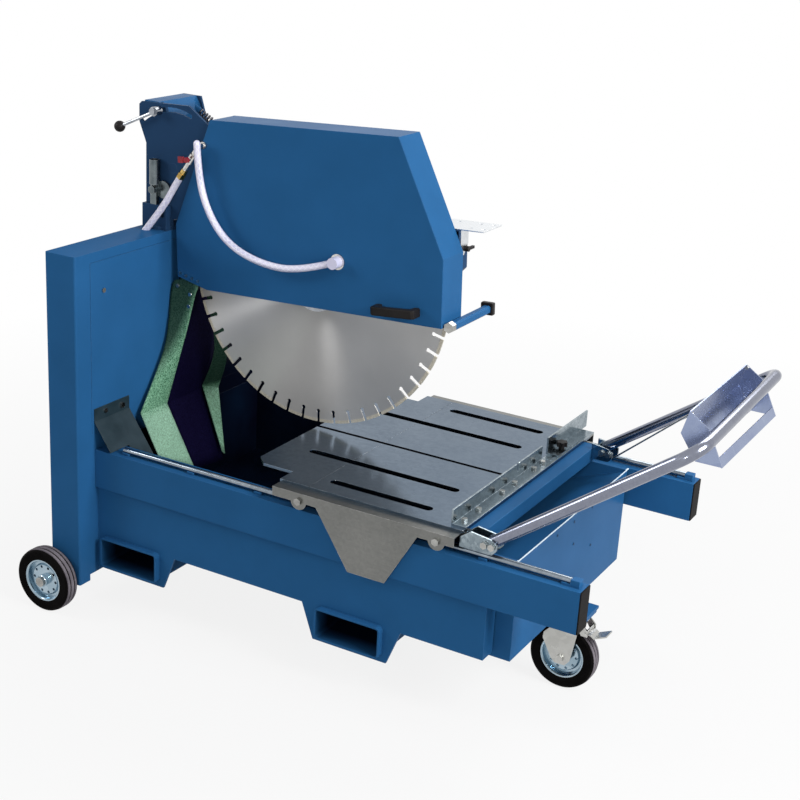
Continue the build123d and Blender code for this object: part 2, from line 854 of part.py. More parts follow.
def make_motor():
    """Finned motor body with a flange against the lid and a fan cover."""
    face = belt_box_lid + lid_thickness
    end = face + 10 + motor_length
    motor = rod_y(motor_x, motor_z, 70, face, face + 10)
    motor += rod_y(motor_x, motor_z, motor_radius - fin_height, face + 10, end)
    fin = block((motor_radius - 12, motor_radius), (face + 18, end - 8), (-2, 2))
    for i in range(fin_count):
        motor += Pos(motor_x, 0, motor_z) * fin.rotate(Axis.Y, 360 / fin_count * i)
    cover = rod_y(motor_x, motor_z, motor_radius, end, end + 36)
    motor += fillet(cover.edges().group_by(Axis.Y)[-1], 12)
    motor -= rod_y(motor_x, motor_z, motor_shaft + 0.1, face - 1, face + 12)
    return [raised(motor)]


def make_belt():
    """Flat belt round both pulleys, just clear of them."""
    layers = []
    for grow in (belt_gap + belt_thickness, belt_gap):
        big = Pos(blade_x, blade_z) * Circle(spindle_pulley + grow)
        small = Pos(motor_x, motor_z) * Circle(motor_pulley_radius + grow)
        layers.append(make_hull(big.edges() + small.edges()))
    loop = extrude(plane_xz(pulley_far - 3) * (layers[0] - layers[1]), amount=pulley_far - pulley_near - 6)
    return [raised(loop)]


def make_motor_pulley():
    pulley = rod_y(motor_x, motor_z, motor_pulley_radius, pulley_near, pulley_far)
    pulley += rod_y(motor_x, motor_z, motor_shaft, pulley_near, belt_box_lid + lid_thickness + 10)
    return [raised(pulley)]


def make_switch_box():
    """Closed blue box on the far wall of the guard, with a chamfered lower corner."""
    outline = [(700, 1055), (888, 1055), (912, 1079), (912, 1194), (700, 1194)]
    box = prism_xz(outline, guard_far, guard_far + 55)
    inner = plane_xz(guard_far + 52) * shrunk(outline, guard_sheet)
    box -= extrude(inner, amount=60)
    return [raised(box)]


def make_control_plate():
    """Drilled plate on top of the box with a folded leg down its front."""
    near = guard_far + 6
    plate = block((765, 985), (near, near + 120), (1194, 1197))
    leg = prism_yz([(near, 1194), (near + 46, 1194), (near + 46, 1150), (near + 20, 1120), (near, 1120)], 912, 915)
    plate += leg
    for x in (800, 860, 930, 970):
        for y in (near + 30, near + 95):
            plate -= rod((x, y, 1190), (x, y, 1200), 5)
    return [raised(plate)]


def switch_centre():
    return (915 + fit_gap, guard_far + 30, 1138)


def make_switch_lever():
    x, y, z = switch_centre()
    lever = rod((x, y, z), (x + 14, y, z), 8)
    lever += block((x + 6, x + 14), (y - 5, y + 34), (z - 4, z + 4))
    return [raised(lever)]


def make_front_bar():
    """Bar across the guard's lower front edge on two short blocks."""
    start = guard_front + bar_gap
    bar = block((start, start + bar_size), (-72, 146), (bar_base, bar_base + bar_size))
    bar = chamfer(bar.edges().filter_by(Axis.Y), 5)
    for y in (-60, -10):
        bar += block((guard_front, start), (y, y + 20), (bar_base + 6, bar_base + bar_size - 6))
    return [raised(bar)]


def make_grips():
    """Black pull handle on the near cover, and the black end block of the front bar."""
    y = guard_near
    outline = [(716, y), (716, y - 38), (724, y - 44), (850, y - 44), (858, y - 38), (858, y), (838, y),
               (834, y - 24), (740, y - 24), (736, y)]
    handle = prism_xy(outline, grip_z - 13, grip_z + 13)
    handle = fillet(handle.edges().filter_by(Axis.Z).group_by(Axis.Y)[0], 5)
    handle = Pos(787, 0, grip_z) * (Pos(-787, 0, -grip_z) * handle).rotate(Axis.Y, -2.5)
    end = block((guard_front - 4, guard_front + 36), (146, 166), (bar_base - 6, bar_base + 32))
    return [raised(handle), raised(end)]


def make_head_bolts():
    """Hex fitting of the front bar, and the curtain's bolts on the near cover."""
    x = guard_front + bar_gap + bar_size / 2
    z = bar_base + bar_size / 2
    pieces = [raised(hexagon((x, -92, z), (x, -72, z), 16))]
    for i in range(4):
        x = 38 + 22 * i
        z = guard_bottom + 46 - 5 * i
        pieces.append(hexagon((x, guard_near, z), (x, guard_near - 4, z), 5))
    return pieces


# Blade and spindle

def make_blade():
    """Steel core with keyhole gullets, and one diamond segment on every land between them."""
    core_radius = blade_radius - segment_height
    gullet = Pos(core_radius - gullet_depth / 2 + 2, 0) * Rectangle(gullet_depth + 4, gullet_width)
    gullet += Pos(core_radius - gullet_depth, 0) * Circle(keyhole_radius)
    core = Circle(core_radius) - Circle(bore_radius + 0.1)
    core -= PolarLocations(0, segment_count) * gullet
    half_pitch = 180 / segment_count
    gap = math.degrees(gullet_width / 2 / core_radius)
    spread = half_pitch - gap
    inner = CenterArc((0, 0), core_radius, -spread, 2 * spread)
    outer = CenterArc((0, 0), blade_radius, -spread, 2 * spread)
    sides = [Line(inner @ 0, outer @ 0), Line(inner @ 1, outer @ 1)]
    segment = make_face([inner, outer] + sides)
    place = plane_xz(blade_y + blade_thickness / 2) * Pos(blade_x, blade_z)
    pieces = [extrude(place * core, amount=blade_thickness)]
    place = plane_xz(blade_y + segment_thickness / 2) * Pos(blade_x, blade_z)
    for i in range(segment_count):
        turned_segment = Rot(0, 0, half_pitch * (2 * i + 1)) * segment
        pieces.append(extrude(place * turned_segment, amount=segment_thickness))
    return [raised(p) for p in pieces]


def make_spindle():
    """Shaft with its pulley, the two blade flanges and the nut."""
    near = blade_y - blade_thickness / 2
    far = blade_y + blade_thickness / 2
    shaft = rod_y(blade_x, blade_z, bore_radius, near - flange_thickness - nut_height - 4, pulley_far + 2)
    inner = rod_y(blade_x, blade_z, flange_radius, far, far + flange_thickness)
    inner += rod_y(blade_x, blade_z, bearing_radius - 9, far, guard_far + 1.8)
    pulley = rod_y(blade_x, blade_z, spindle_pulley, pulley_near, pulley_far)
    drive = shaft + inner + pulley
    outer = rod_y(blade_x, blade_z, flange_radius, near - flange_thickness, near)
    outer -= rod_y(blade_x, blade_z, bore_radius + 0.1, near - 50, near + 1)
    face = near - flange_thickness
    nut = hexagon((blade_x, face - nut_height, blade_z), (blade_x, face, blade_z), nut_radius)
    nut -= rod_y(blade_x, blade_z, bore_radius + 0.1, face - 50, face + 1)
    return [raised(drive), raised(outer), raised(nut)]


# Water line and curtains

def level_fittings():
    """Hose tail, valve body and top fitting along the guard's rear edge, and the gland on the near cover."""
    (x0, z0), (x1, z1) = valve_start, valve_end
    way = Vector(x1 - x0, 0, z1 - z0).normalized()
    start = Vector(x0, valve_y, z0)

    def along(distance):
        return tuple(start + way * distance)

    total = math.hypot(x1 - x0, z1 - z0)
    middle = way.dot(Vector(valve_pivot[0] - x0, 0, valve_pivot[1] - z0))
    body = rod(along(0), along(total), 8)
    body += hexagon(along(0), along(18), 13)
    body += rod(along(18), along(32), 10)
    body += rod(along(middle - 15), along(middle + 15), 12)
    body += hexagon(along(total - 30), along(total - 16), 11)
    body += rod_y(x1, z1, 7, valve_y - 14, guard_near)
    body += rod_y(x1, z1, 11, guard_near - 8, guard_near)
    body += rod_y(*valve_pivot, 5, valve_y - 20, valve_y)
    gx, gz = gland_at
    gland = rod_y(gx, gz, gland_radius, guard_near - 34, guard_near)
    gland += rod_y(gx, gz, gland_radius + 6, guard_near - 5, guard_near)
    return [body, gland]


def make_valve():
    return [raised(piece) for piece in level_fittings()]


def make_valve_lever():
    x, z = valve_pivot
    y = valve_y - 20
    lever = block((x - valve_reach, x + 10), (y - 9, y - 5), (z - 6, z + 6))
    lever += rod_y(x, z, 8, y - 10, y - 0.3)
    lever += block((x - valve_reach, x - valve_reach + 18), (y - 11, y - 3), (z - 9, z + 9))
    return [raised(lever)]


def supply_points():
    """Slanting up out of the post's top, and into the valve's tail along the valve's own line."""
    x, z = raised_point(*valve_start)
    bx, bz = raised_point(valve_start[0] - 24, valve_start[1] - 32)
    return [(-69, -143, post_top - 9), (-4, -131, post_top + 77), (bx, valve_y, bz), (x, valve_y, z)]


def make_supply_hose():
    """The hose's slanted foot is cut level with the top of the post."""
    points = supply_points()
    hose = bent_tube(points, hose_radii(points), hose_radius)
    hose -= block((-200, 0), (-200, 0), (post_top - 60, post_top))
    return [hose - raised(level_fittings()[0])]


def feed_points():
    """Level route of the hose that hangs down the near cover from the valve to the gland."""
    x1, z1 = valve_end
    y = valve_y - 13
    gx, gz = gland_at
    return [(x1, y, z1 + 9), (x1 + 3, y - 2, 1290), (165, y - 4, 1180), (235, y - 4, 1100), (345, y - 2, 1058),
            (470, y, 1052), (gx - gland_radius + 1, guard_near - 18, gz - 4)]


def make_feed_hose():
    points = feed_points()
    hose = bent_tube(points, hose_radii(points), hose_radius)
    for fitting in level_fittings():
        hose -= fitting
    return [raised(hose)]


def coil_path(radius, length, turns):
    """Helix made of arcs: every half turn is two arcs that meet along one tangent."""
    rise = length / turns / 2
    points = []
    ways = []
    for i in range(2 * turns + 1):
        side = math.cos(math.pi * i)
        points.append(Vector(radius * side, 0, rise * i))
        ways.append(Vector(0, radius * side, rise / math.pi).normalized())
    arcs = []
    for a, b, first, last in zip(points, points[1:], ways, ways[1:]):
        chord = b - a
        total = first + last
        square = total.dot(total) - 4
        line = -2 * chord.dot(total)
        reach = (-line - math.sqrt(line * line - 4 * square * chord.dot(chord))) / (2 * square)
        before = a + first * reach
        after = b - last * reach
        middle = (before + after) * 0.5
        arcs.append(TangentArc(a, middle, tangent=first))
        arcs.append(TangentArc(middle, b, tangent=after - before))
    return Wire(arcs)


def least_gap(path, turns, wire):
    """Smallest clear space between the coil's turns, measured on points along it."""
    each = 16
    points = [path @ (i / each / turns) for i in range(each * turns + 1)]
    gaps = [(q - p).length for i, p in enumerate(points) for q in points[i + each // 2:]]
    return min(gaps) - 2 * wire


def make_spring():
    """Wound buffer spring between its seat on the tower's cover and the lug on the arm."""
    (x0, z0), (x1, z1) = spring_start, spring_end
    length = math.hypot(x1 - x0, z1 - z0)
    place = Plane(origin=(x0, spring_y, z0), z_dir=(x1 - x0, 0, z1 - z0))
    coil = coil_path(spring_radius, length, spring_turns)
    section = Plane(origin=coil @ 0, z_dir=coil % 0) * Circle(spring_wire)
    spring = sweep(section, path=coil)
    ratio = spring.volume / (math.pi * spring_wire ** 2 * coil.length)
    print("spring least gap", round(least_gap(coil, spring_turns, spring_wire), 2), "volume ratio", round(ratio, 3))
    return [place.location * spring]


def strip_section(first, second, along):
    """Four corners of a strip between two edge points, thick along the given way."""
    a = Vector(*first)
    b = Vector(*second)
    shift = Vector(*along).normalized() * strip_thickness
    return [a, b, b + shift, a + shift]


def flat_face(points):
    return Face(Wire.make_polygon(points, close=True))


def hanging_strip(sections):
    """Closed strip through its sections, each span divided so that the twist runs evenly."""
    rings = []
    corners = [strip_section(*section) for section in sections]
    for upper, lower in zip(corners, corners[1:]):
        for i in range(strip_steps):
            share = i / strip_steps
            rings.append([u * (1 - share) + v * share for u, v in zip(upper, lower)])
    rings.append(corners[-1])
    faces = [flat_face(rings[0]), flat_face(rings[-1])]
    for upper, lower in zip(rings, rings[1:]):
        for k in range(4):
            n = (k + 1) % 4
            # Front and back are split along the same diagonal, or they would cross where the strip twists.
            start, end = (k, n) if k < 2 else (n, k)
            faces.append(flat_face([upper[start], upper[end], lower[end]]))
            faces.append(flat_face([upper[start], lower[end], lower[start]]))
    solid = Solid(Shell(faces))
    print("strip volume", round(solid.volume))
    return solid


def make_side_curtains():
    """Twisted strips: flat inside the guard's sides at the top, facing the table at the knee, then into the tub."""
    near_y = guard_near + guard_sheet
    far_y = guard_far - guard_sheet
    near = [((100, near_y, 978), (34, near_y, 995), (0, 1, 0)),
            ((100, near_y, 946), (34, near_y, 963), (0, 1, 0)),
            ((90, near_y - 2, 915), (4, near_y - 4, 935), (0, 1, 0)),
            ((64, -116, 770), (12, -143, 758), (-0.43, 0.9, 0)),
            ((knee_x, -146, knee_z + 2), (knee_x, -274, knee_z + 6), (-1, 0, 0)),
            ((100, -99, 351), (100, -280, 451), (-1, 0, 0))]
    far = [((34, far_y, 995), (100, far_y, 978), (0, -1, 0)),
           ((34, far_y, 963), (100, far_y, 946), (0, -1, 0)),
           ((74, 30, 730), (104, 60, 718), (0.7, -0.7, 0)),
           ((knee_x, 34, knee_z + 11), (knee_x, 119, knee_z - 18), (1, 0, 0)),
           ((100, 44, 365), (100, 56, 353), (1, 0, 0))]
    return [hanging_strip(near), hanging_strip(far)]


def make_back_curtain():
    """Strip from the guard's rear wall down between the side strips, just behind them."""
    top = raised_point(guard_rear, 1000)
    low = raised_point(guard_rear, 972)
    back = knee_x - 4
    sections = [((top[0], guard_near + 13, top[1]), (top[0], guard_far - 8, top[1]), (-1, 0, 0)),
                ((low[0], guard_near + 13, low[1]), (low[0], guard_far - 8, low[1]), (-1, 0, 0)),
                ((36, -108, 725), (36, 86, 725), (-1, 0, 0)),
                ((back, -140, knee_z), (back, 40, knee_z), (-1, 0, 0)),
                ((95, -93, 345), (95, 62, 330), (-1, 0, 0))]
    return [hanging_strip(sections)]


# Table

def table_slot(x0, x1, y):
    slot = extrude(SlotOverall(x1 - x0, 2 * slot_half), amount=2 * table_sheet)
    return Pos((x0 + x1) / 2, y, channel_top) * slot


def make_table_plates():
    """Slotted plates either side of the blade gap, each with a narrower rear plate behind a seam."""
    plates = []
    for side in (-1, 1):
        edge = blade_y + side * blade_gap / 2
        outline = [(table_rear, edge), (table_front, edge), (table_front, side * table_half),
                   (channel_start - 2, side * table_half), (channel_start - 2, side * table_wing),
                   (table_rear + 35, side * table_wing), (table_rear, side * (table_wing - 36))]
        plate = prism_xy(outline, channel_top, table_top)
        for start, y in (outer_slot, inner_slot):
            plate -= table_slot(start, slot_end, side * y)
        seam = (table_seam - seam_gap / 2, table_seam + seam_gap / 2)
        plate -= block(seam, (-table_half - 1, table_half + 1), (channel_top - 1, table_top + 1))
        plates.append(plate)
    return plates


def make_channels():
    """Inverted channel over the rail, with a trapezoid skirt and round lugs for the roller bolts."""
    low = channel_top - channel_height
    t = channel_sheet
    x = (channel_start, channel_end)
    section = [(-channel_outer, low), (-channel_outer + t, low), (-channel_outer + t, channel_top - t),
               (-channel_inner - t, channel_top - t), (-channel_inner - t, low), (-channel_inner, low),
               (-channel_inner, channel_top), (-channel_outer, channel_top)]
    channel = prism_yz(section, *x)
    outside = (-channel_outer - 1, -channel_inner - 10)
    channel -= block((web_end, channel_end + 1), outside, (low - 1, channel_top + 1))
    skirt = [(skirt_top[0], low + 1), (skirt_top[1], low + 1)]
    skirt += [(skirt_bottom[1], skirt_base), (skirt_bottom[0], skirt_base)]
    channel += prism_xz(skirt, -channel_outer, -channel_outer + t)
    webs = ((-channel_outer, -channel_outer + t), (-channel_inner - t, -channel_inner))
    for centre in roller_x:
        for web in webs:
            above = block((centre - lug_radius, centre + lug_radius), web, (channel_top, roller_z + lug_radius + 1))
            channel += rod_y(centre, roller_z, lug_radius, *web) - above
        channel -= rod_y(centre, roller_z, roller_bolt + running_gap, -channel_outer - 1, -channel_inner + 1)
    return both_sides(channel)


def make_rollers(x):
    """Grooved roller on each rail, the pair on one line across the table."""
    bore = roller_bolt + running_gap
    profile = [(bore, -roller_half), (roller_outer, -roller_half), (roller_outer, -groove_half - 3),
               (roller_groove, -groove_half), (roller_groove, groove_half), (roller_outer, groove_half + 3),
               (roller_outer, roller_half), (bore, roller_half)]
    return [turned(profile, (x, side * beam_y, roller_z)) for side in (-1, 1)]


def make_cross_tube():
    x = (tube_start, tube_end)
    half = channel_inner
    tube = block(x, (-half, half), (tube_base, channel_top))
    hollow_x = (x[0] + tube_wall, x[1] - tube_wall)
    hollow_z = (tube_base + tube_wall, channel_top - tube_wall)
    return [tube - block(hollow_x, (-half - 1, half + 1), hollow_z)]


def make_fence():
    """Fixed angle across the table, and the slotted bar that carries the stop."""
    low = table_top
    foot = (fence_x + fence_sheet, fence_x + fence_sheet + fence_leg)
    angle = block((fence_x, fence_x + fence_sheet), (fence_near, fence_split), (low, low + fence_height))
    angle += block(foot, (fence_near, fence_split), (low, low + fence_sheet))
    angle -= block((fence_x - 1, foot[0] + 30), (blade_y - 5, blade_y + 5), (low + 20, low + 99))
    bar = block(foot, (fence_split + 1, fence_far), (low, low + fence_sheet))
    slot = Pos(knob_x, (knob_y - 60 + knob_y + 90) / 2, low - 1) * Rot(0, 0, 90)
    bar -= slot * extrude(SlotOverall(170, 2 * knob_stud + 1), amount=2 * fence_sheet)
    return [angle, bar]


def make_stop():
    """Sliding stop angle on the bar, with a hole for the knob's stud."""
    low = table_top + fence_sheet
    foot = (fence_x + fence_sheet, fence_x + fence_sheet + fence_leg - 4)
    stop = block((fence_x, fence_x + fence_sheet), (stop_near, stop_far), (low, low + stop_leg))
    stop += block(foot, (stop_near, stop_near + 150), (low, low + fence_sheet))
    stop -= rod((knob_x, knob_y, low - 1), (knob_x, knob_y, low + 10), knob_stud + running_gap)
    return [stop]


def make_knob():
    """Six-lobed knob with its stud."""
    low = table_top + 2 * fence_sheet
    knob = rod((knob_x, knob_y, low + 0.3), (knob_x, knob_y, low + 8), 9)
    star = Circle(knob_radius - 4) + PolarLocations(knob_radius - 4, 6) * Circle(4.5)
    knob += Pos(knob_x, knob_y, low + 8) * extrude(star, amount=14)
    knob += rod((knob_x, knob_y, table_top + 0.5), (knob_x, knob_y, low + 8), knob_stud)
    return [knob]


def clevis(middle, gap):
    """Two cheeks either side of the foot of the handle tube."""
    nose = [(bracket_start, bracket_base), (bracket_end - 12, bracket_base), (bracket_end, bracket_base + 14),
            (bracket_end, bracket_top - 18), (bracket_end - 16, bracket_top - 8), (bracket_start + 30, bracket_top),
            (bracket_start, channel_top)]
    near = prism_xz(nose, middle - gap - bracket_sheet, middle - gap)
    return near + prism_xz(nose, middle + gap, middle + gap + bracket_sheet)


def far_bracket_middle():
    """The far arm runs inwards as it rises, so its bracket sits a little inside its foot."""
    return handle_far_foot - 2


def make_brackets():
    """Near clevis beside the channel's end, far clevis on the front of the cross tube."""
    near = clevis(handle_near, bracket_gap)
    web = (handle_near - bracket_gap - bracket_sheet, -channel_inner - channel_sheet)
    near += block((bracket_start, bracket_start + bracket_sheet), web, (bracket_base, channel_top - channel_sheet))
    middle = far_bracket_middle()
    far = clevis(middle, far_bracket_gap)
    reach = far_bracket_gap + bracket_sheet
    far -= block((bracket_start - 1, tube_end), (middle - 50, middle + 50), (bracket_base - 1, bracket_top + 1))
    far += block((tube_end, tube_end + bracket_sheet), (middle - reach, middle + reach), (bracket_base, channel_top))
    return [near, far]


def handle_points():
    """The far side of the bail stands a little higher than the near side."""
    return [(handle_foot[0], handle_near, handle_foot[1]), (handle_bar[0], handle_near, handle_bar[1]),
            (handle_bar[0], handle_far_bar, handle_bar[1] + far_bar_rise),
            (handle_foot[0], handle_far_foot, handle_foot[1] + far_foot_rise)]


def make_handle():
    """Bail tube over the operator end."""
    return [bent_tube(handle_points(), handle_bend, handle_tube)]


def make_hand_guard():
    """Folded back panel, two end plates notched round the bar, and a lip along the lower front edge."""
    top, fold, low, corner, front = box_section
    box = prism_xz(strip([top, fold, low], box_sheet), box_near, box_far)
    rise = math.hypot(front[0] - corner[0], front[1] - corner[1])
    share = box_lip / rise
    edge = (corner[0] + (front[0] - corner[0]) * share, corner[1] + (front[1] - corner[1]) * share)
    box += prism_xz(strip([corner, edge], box_sheet), box_near, box_far)
    for start in (box_near, box_far - box_sheet):
        box += prism_xz(list(box_section), start, start + box_sheet)
    return [box - bent_tube(handle_points(), handle_bend, handle_tube + fit_gap)]


def tie_rod():
    """Thin rod from the front edge of the far bracket to the back of the hand guard."""
    near_cheek = far_bracket_middle() - far_bracket_gap - bracket_sheet / 2
    top, fold = box_section[0], box_section[1]
    lower = (bracket_end + 2, near_cheek, bracket_base + 16)
    upper = (fold[0] + 2, tie_y, (top[1] + fold[1]) / 2 - 9)
    return rod(lower, upper, tie_radius)


def make_table_bolts():
    """Roller bolts, bracket bolts, fence bolts and the thin tie rod."""
    pieces = [tie_rod()]
    for side in (-1, 1):
        for x in roller_x:
            outer = side * channel_outer
            bolt = rod((x, outer, roller_z), (x, side * (channel_inner - 6), roller_z), roller_bolt)
            bolt += hexagon((x, outer, roller_z), (x, outer + side * 8, roller_z), 11)
            pieces.append(bolt)
    faces = (handle_near - bracket_gap - bracket_sheet, far_bracket_middle() - far_bracket_gap - bracket_sheet)
    for face in faces:
        for x in (bracket_start + 72, bracket_start + 94):
            pieces.append(hexagon((x, face, 558), (x, face - 8, 558), 10))
    top = table_top + fence_sheet
    for y in (-380, -296, -150, -70, 60, 120):
        pieces.append(hexagon((knob_x - 2, y, top), (knob_x - 2, y, top + 7), 9))
    return pieces


nodes = {
    "side_beams": make_beams(),
    "beam_end_caps": make_end_caps(),
    "guide_rails": make_rails(),
    "skid_plates": make_skid_plates(),
    "fork_pockets": make_fork_pockets(),
    "water_tub": make_tub(),
    "post_column": make_post(),
    "post_cover": make_post_cover(),
    "splash_deflector": make_deflector(),
    "water_pump": make_pump(),
    "frame_bolts": make_frame_bolts(),
    "tower": make_tower(),
    "tower_roof": make_roof(),
    "lift_socket": make_lift_socket(),
    "caster_mount": make_caster_mount(),
    "supply_hose": make_supply_hose(),
    "near_tyre": make_tyre((rear_wheel_x, -rear_wheel_y, wheel_radius)),
    "near_rim": make_rim((rear_wheel_x, -rear_wheel_y, wheel_radius), axle_radius + running_gap),
    "far_tyre": make_tyre((rear_wheel_x, rear_wheel_y, wheel_radius)),
    "far_rim": make_rim((rear_wheel_x, rear_wheel_y, wheel_radius), axle_radius + running_gap),
    "caster_fork": make_caster_fork(),
    "caster_tyre": make_tyre((king_x - caster_trail, king_y, wheel_radius)),
    "caster_rim": make_rim((king_x - caster_trail, king_y, wheel_radius), caster_axle_radius + running_gap),
    "brake_pedal": make_brake_pedal(),
    "clamp_lever": make_clamp_lever(),
    "clamp_knob": make_clamp_knob(),
    "guard_shell": make_guard_shell(),
    "guard_cover": make_guard_cover(),
    "head_arm": make_arm(),
    "spindle_bearings": make_bearings(),
    "belt_box": make_belt_box(),
    "motor": make_motor(),
    "drive_belt": make_belt(),
    "switch_box": make_switch_box(),
    "control_plate": make_control_plate(),
    "switch_lever": make_switch_lever(),
    "front_bar": make_front_bar(),
    "black_grips": make_grips(),
    "head_bolts": make_head_bolts(),
    "water_valve": make_valve(),
    "valve_lever": make_valve_lever(),
    "feed_hose": make_feed_hose(),
    "buffer_spring": make_spring(),
    "side_curtains": make_side_curtains(),
    "back_curtain": make_back_curtain(),
    "saw_blade": make_blade(),
    "spindle": make_spindle(),
    "motor_pulley": make_motor_pulley(),
    "table_plates": make_table_plates(),
    "table_channels": make_channels(),
    "cross_tube": make_cross_tube(),
    "fence": make_fence(),
    "stop_angle": make_stop(),
    "star_knob": make_knob(),
    "handle_brackets": make_brackets(),
    "handle_bail": make_handle(),
    "hand_guard": make_hand_guard(),
    "table_bolts": make_table_bolts(),
    "front_rollers": make_rollers(roller_x[1]),
    "rear_rollers": make_rollers(roller_x[0]),
}

# The middle of the whole saw, seen from above, becomes x = 0.
os.makedirs("parts", exist_ok=True)
solids = {name: [s for shape in shapes for s in shape.solids()] for name, shapes in nodes.items()}
whole = Compound(children=[s for group in solids.values() for s in group]).bounding_box()
shift = Pos(-round((whole.min.X + whole.max.X) / 2), -round((whole.min.Y + whole.max.Y) / 2), -whole.min.Z)
print("shift", shift.position, "size", whole.size)
for name, group in solids.items():
    shape = Compound([Solid(s.wrapped).moved(shift) for s in group])
    export_step(shape, "parts/" + name + ".step")
    print(name, len(group), "solids")
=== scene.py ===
# %% [markdown]
# # A wet stone saw
# A saw for cutting stone and blocks under water: a wheeled steel frame with a water tub, a post that carries
# a tilting head with a guarded blade, and a table on rollers that is pulled by a tube handle.
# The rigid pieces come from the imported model. This script gives them their finishes, and makes the pieces
# that bend (two water hoses, three splash curtains and a buffer spring) and a few small screws.

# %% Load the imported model
import math
import bpy
from mathutils import Matrix, Vector


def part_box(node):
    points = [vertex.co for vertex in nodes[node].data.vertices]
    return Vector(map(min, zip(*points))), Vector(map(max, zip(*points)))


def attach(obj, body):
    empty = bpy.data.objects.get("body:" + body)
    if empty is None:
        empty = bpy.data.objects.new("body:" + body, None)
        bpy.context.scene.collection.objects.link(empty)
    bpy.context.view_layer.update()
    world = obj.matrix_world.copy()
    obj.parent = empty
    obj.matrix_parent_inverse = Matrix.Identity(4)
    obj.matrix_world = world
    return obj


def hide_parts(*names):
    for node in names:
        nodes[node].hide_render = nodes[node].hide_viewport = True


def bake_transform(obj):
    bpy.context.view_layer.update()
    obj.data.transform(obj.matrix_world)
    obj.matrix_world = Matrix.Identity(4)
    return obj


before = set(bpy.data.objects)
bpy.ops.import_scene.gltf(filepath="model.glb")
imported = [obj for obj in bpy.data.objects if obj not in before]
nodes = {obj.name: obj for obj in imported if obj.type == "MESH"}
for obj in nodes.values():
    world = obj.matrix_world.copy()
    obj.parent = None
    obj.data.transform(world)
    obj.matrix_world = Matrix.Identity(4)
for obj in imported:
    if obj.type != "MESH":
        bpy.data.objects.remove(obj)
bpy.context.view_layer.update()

# %% [markdown]
# ## The camera
# The saw is seen from the operator's left and from above, with a medium lens. The camera could be aimed with
# a constraint, but a matrix made from three angles also holds the slight roll of the picture.

# %% Camera
camera_place = Vector((1.9186, -3.6420, 2.2081))
camera_yaw = math.radians(28.4)
camera_pitch = math.radians(19.9)
camera_roll = math.radians(3.5)
camera_lens = 67.1
camera_sensor = 36
camera_reach = 100


def link(piece):
    bpy.context.scene.collection.objects.link(piece)
    return piece


def camera_axes():
    """The camera's directions to the right, up and back, as rows."""
    forward = Vector((-math.sin(camera_yaw) * math.cos(camera_pitch),
                      math.cos(camera_yaw) * math.cos(camera_pitch), -math.sin(camera_pitch)))
    level_right = Vector((math.cos(camera_yaw), math.sin(camera_yaw), 0))
    level_up = level_right.cross(forward)
    right = level_right * math.cos(camera_roll) + level_up * math.sin(camera_roll)
    up = level_up * math.cos(camera_roll) - level_right * math.sin(camera_roll)
    return Matrix((right, up, -forward))


def add_camera():
    lens = bpy.data.cameras.new("camera")
    lens.lens = camera_lens
    lens.sensor_width = camera_sensor
    lens.clip_end = camera_reach
    eye = link(bpy.data.objects.new("camera", lens))
    eye.matrix_world = Matrix.Translation(camera_place) @ camera_axes().transposed().to_4x4()
    bpy.context.scene.camera = eye
    return eye


eye = add_camera()
print("camera at", [round(v, 2) for v in eye.location])

# %% [markdown]
# ## Helpers for shader nodes
# A material in code is a list of nodes and links. One helper that adds a node, sets its options and links
# its inputs in a single call keeps each finish below short enough to read.

# %% Node helpers
def make(tree, kind, inputs=None, **options):
    """Adds one shader node. An input that is a socket is linked, and any other is set."""
    node = tree.nodes.new("ShaderNode" + kind)
    for name, value in options.items():
        setattr(node, name, value)
    for key, value in (inputs or {}).items():
        if isinstance(value, bpy.types.NodeSocket):
            tree.links.new(value, node.inputs[key])
        else:
            node.inputs[key].default_value = value
    return node


def maths(tree, operation, first, second=0.0, third=0.0):
    node = make(tree, "Math", {0: first, 1: second, 2: third}, operation=operation)
    return node.outputs[0]


def product(tree, first, *others):
    """All the given values multiplied together."""
    for other in others:
        first = maths(tree, "MULTIPLY", first, other)
    return first


def vector(tree, operation, first, second=(0, 0, 0)):
    """One step of vector arithmetic, of which LENGTH and DOT_PRODUCT give a number."""
    node = make(tree, "VectorMath", {0: first, 1: second}, operation=operation)
    return node.outputs["Value" if operation in ("LENGTH", "DOT_PRODUCT") else "Vector"]


def ramp(tree, value, low, high, start=0.0, end=1.0):
    """Takes a value from low..high to start..end, held at both ends."""
    return make(tree, "MapRange", {0: value, 1: low, 2: high, 3: start, 4: end}).outputs[0]


def rgba(tone):
    """A tone with its alpha. A socket is left as it is."""
    return tone if isinstance(tone, bpy.types.NodeSocket) else (*tone, 1.0)


def mixed(tree, share, first, second):
    """A colour between two colours, each of them a socket or a plain tone."""
    return make(tree, "Mix", {0: share, 6: rgba(first), 7: rgba(second)}, data_type="RGBA").outputs[2]


def noise(tree, place, scale, detail=3.0, rough=0.5):
    inputs = {"Vector": place, "Scale": scale, "Detail": detail, "Roughness": rough}
    return make(tree, "TexNoise", inputs).outputs[0]


def object_place(tree):
    """The point on the piece, in the shared frame at rest. It stays with the piece in every pose."""
    return make(tree, "TexCoord").outputs["Object"]


def parts_of(tree, place):
    """The x, y and z of a point, as three sockets."""
    return make(tree, "SeparateXYZ", {0: place}).outputs


def about_axle(tree, centre):
    """The arm from a centre to the point, and the point's distance from the line along Y through it."""
    arm = vector(tree, "SUBTRACT", object_place(tree), centre)
    return arm, vector(tree, "LENGTH", vector(tree, "MULTIPLY", arm, (1, 0, 1)))


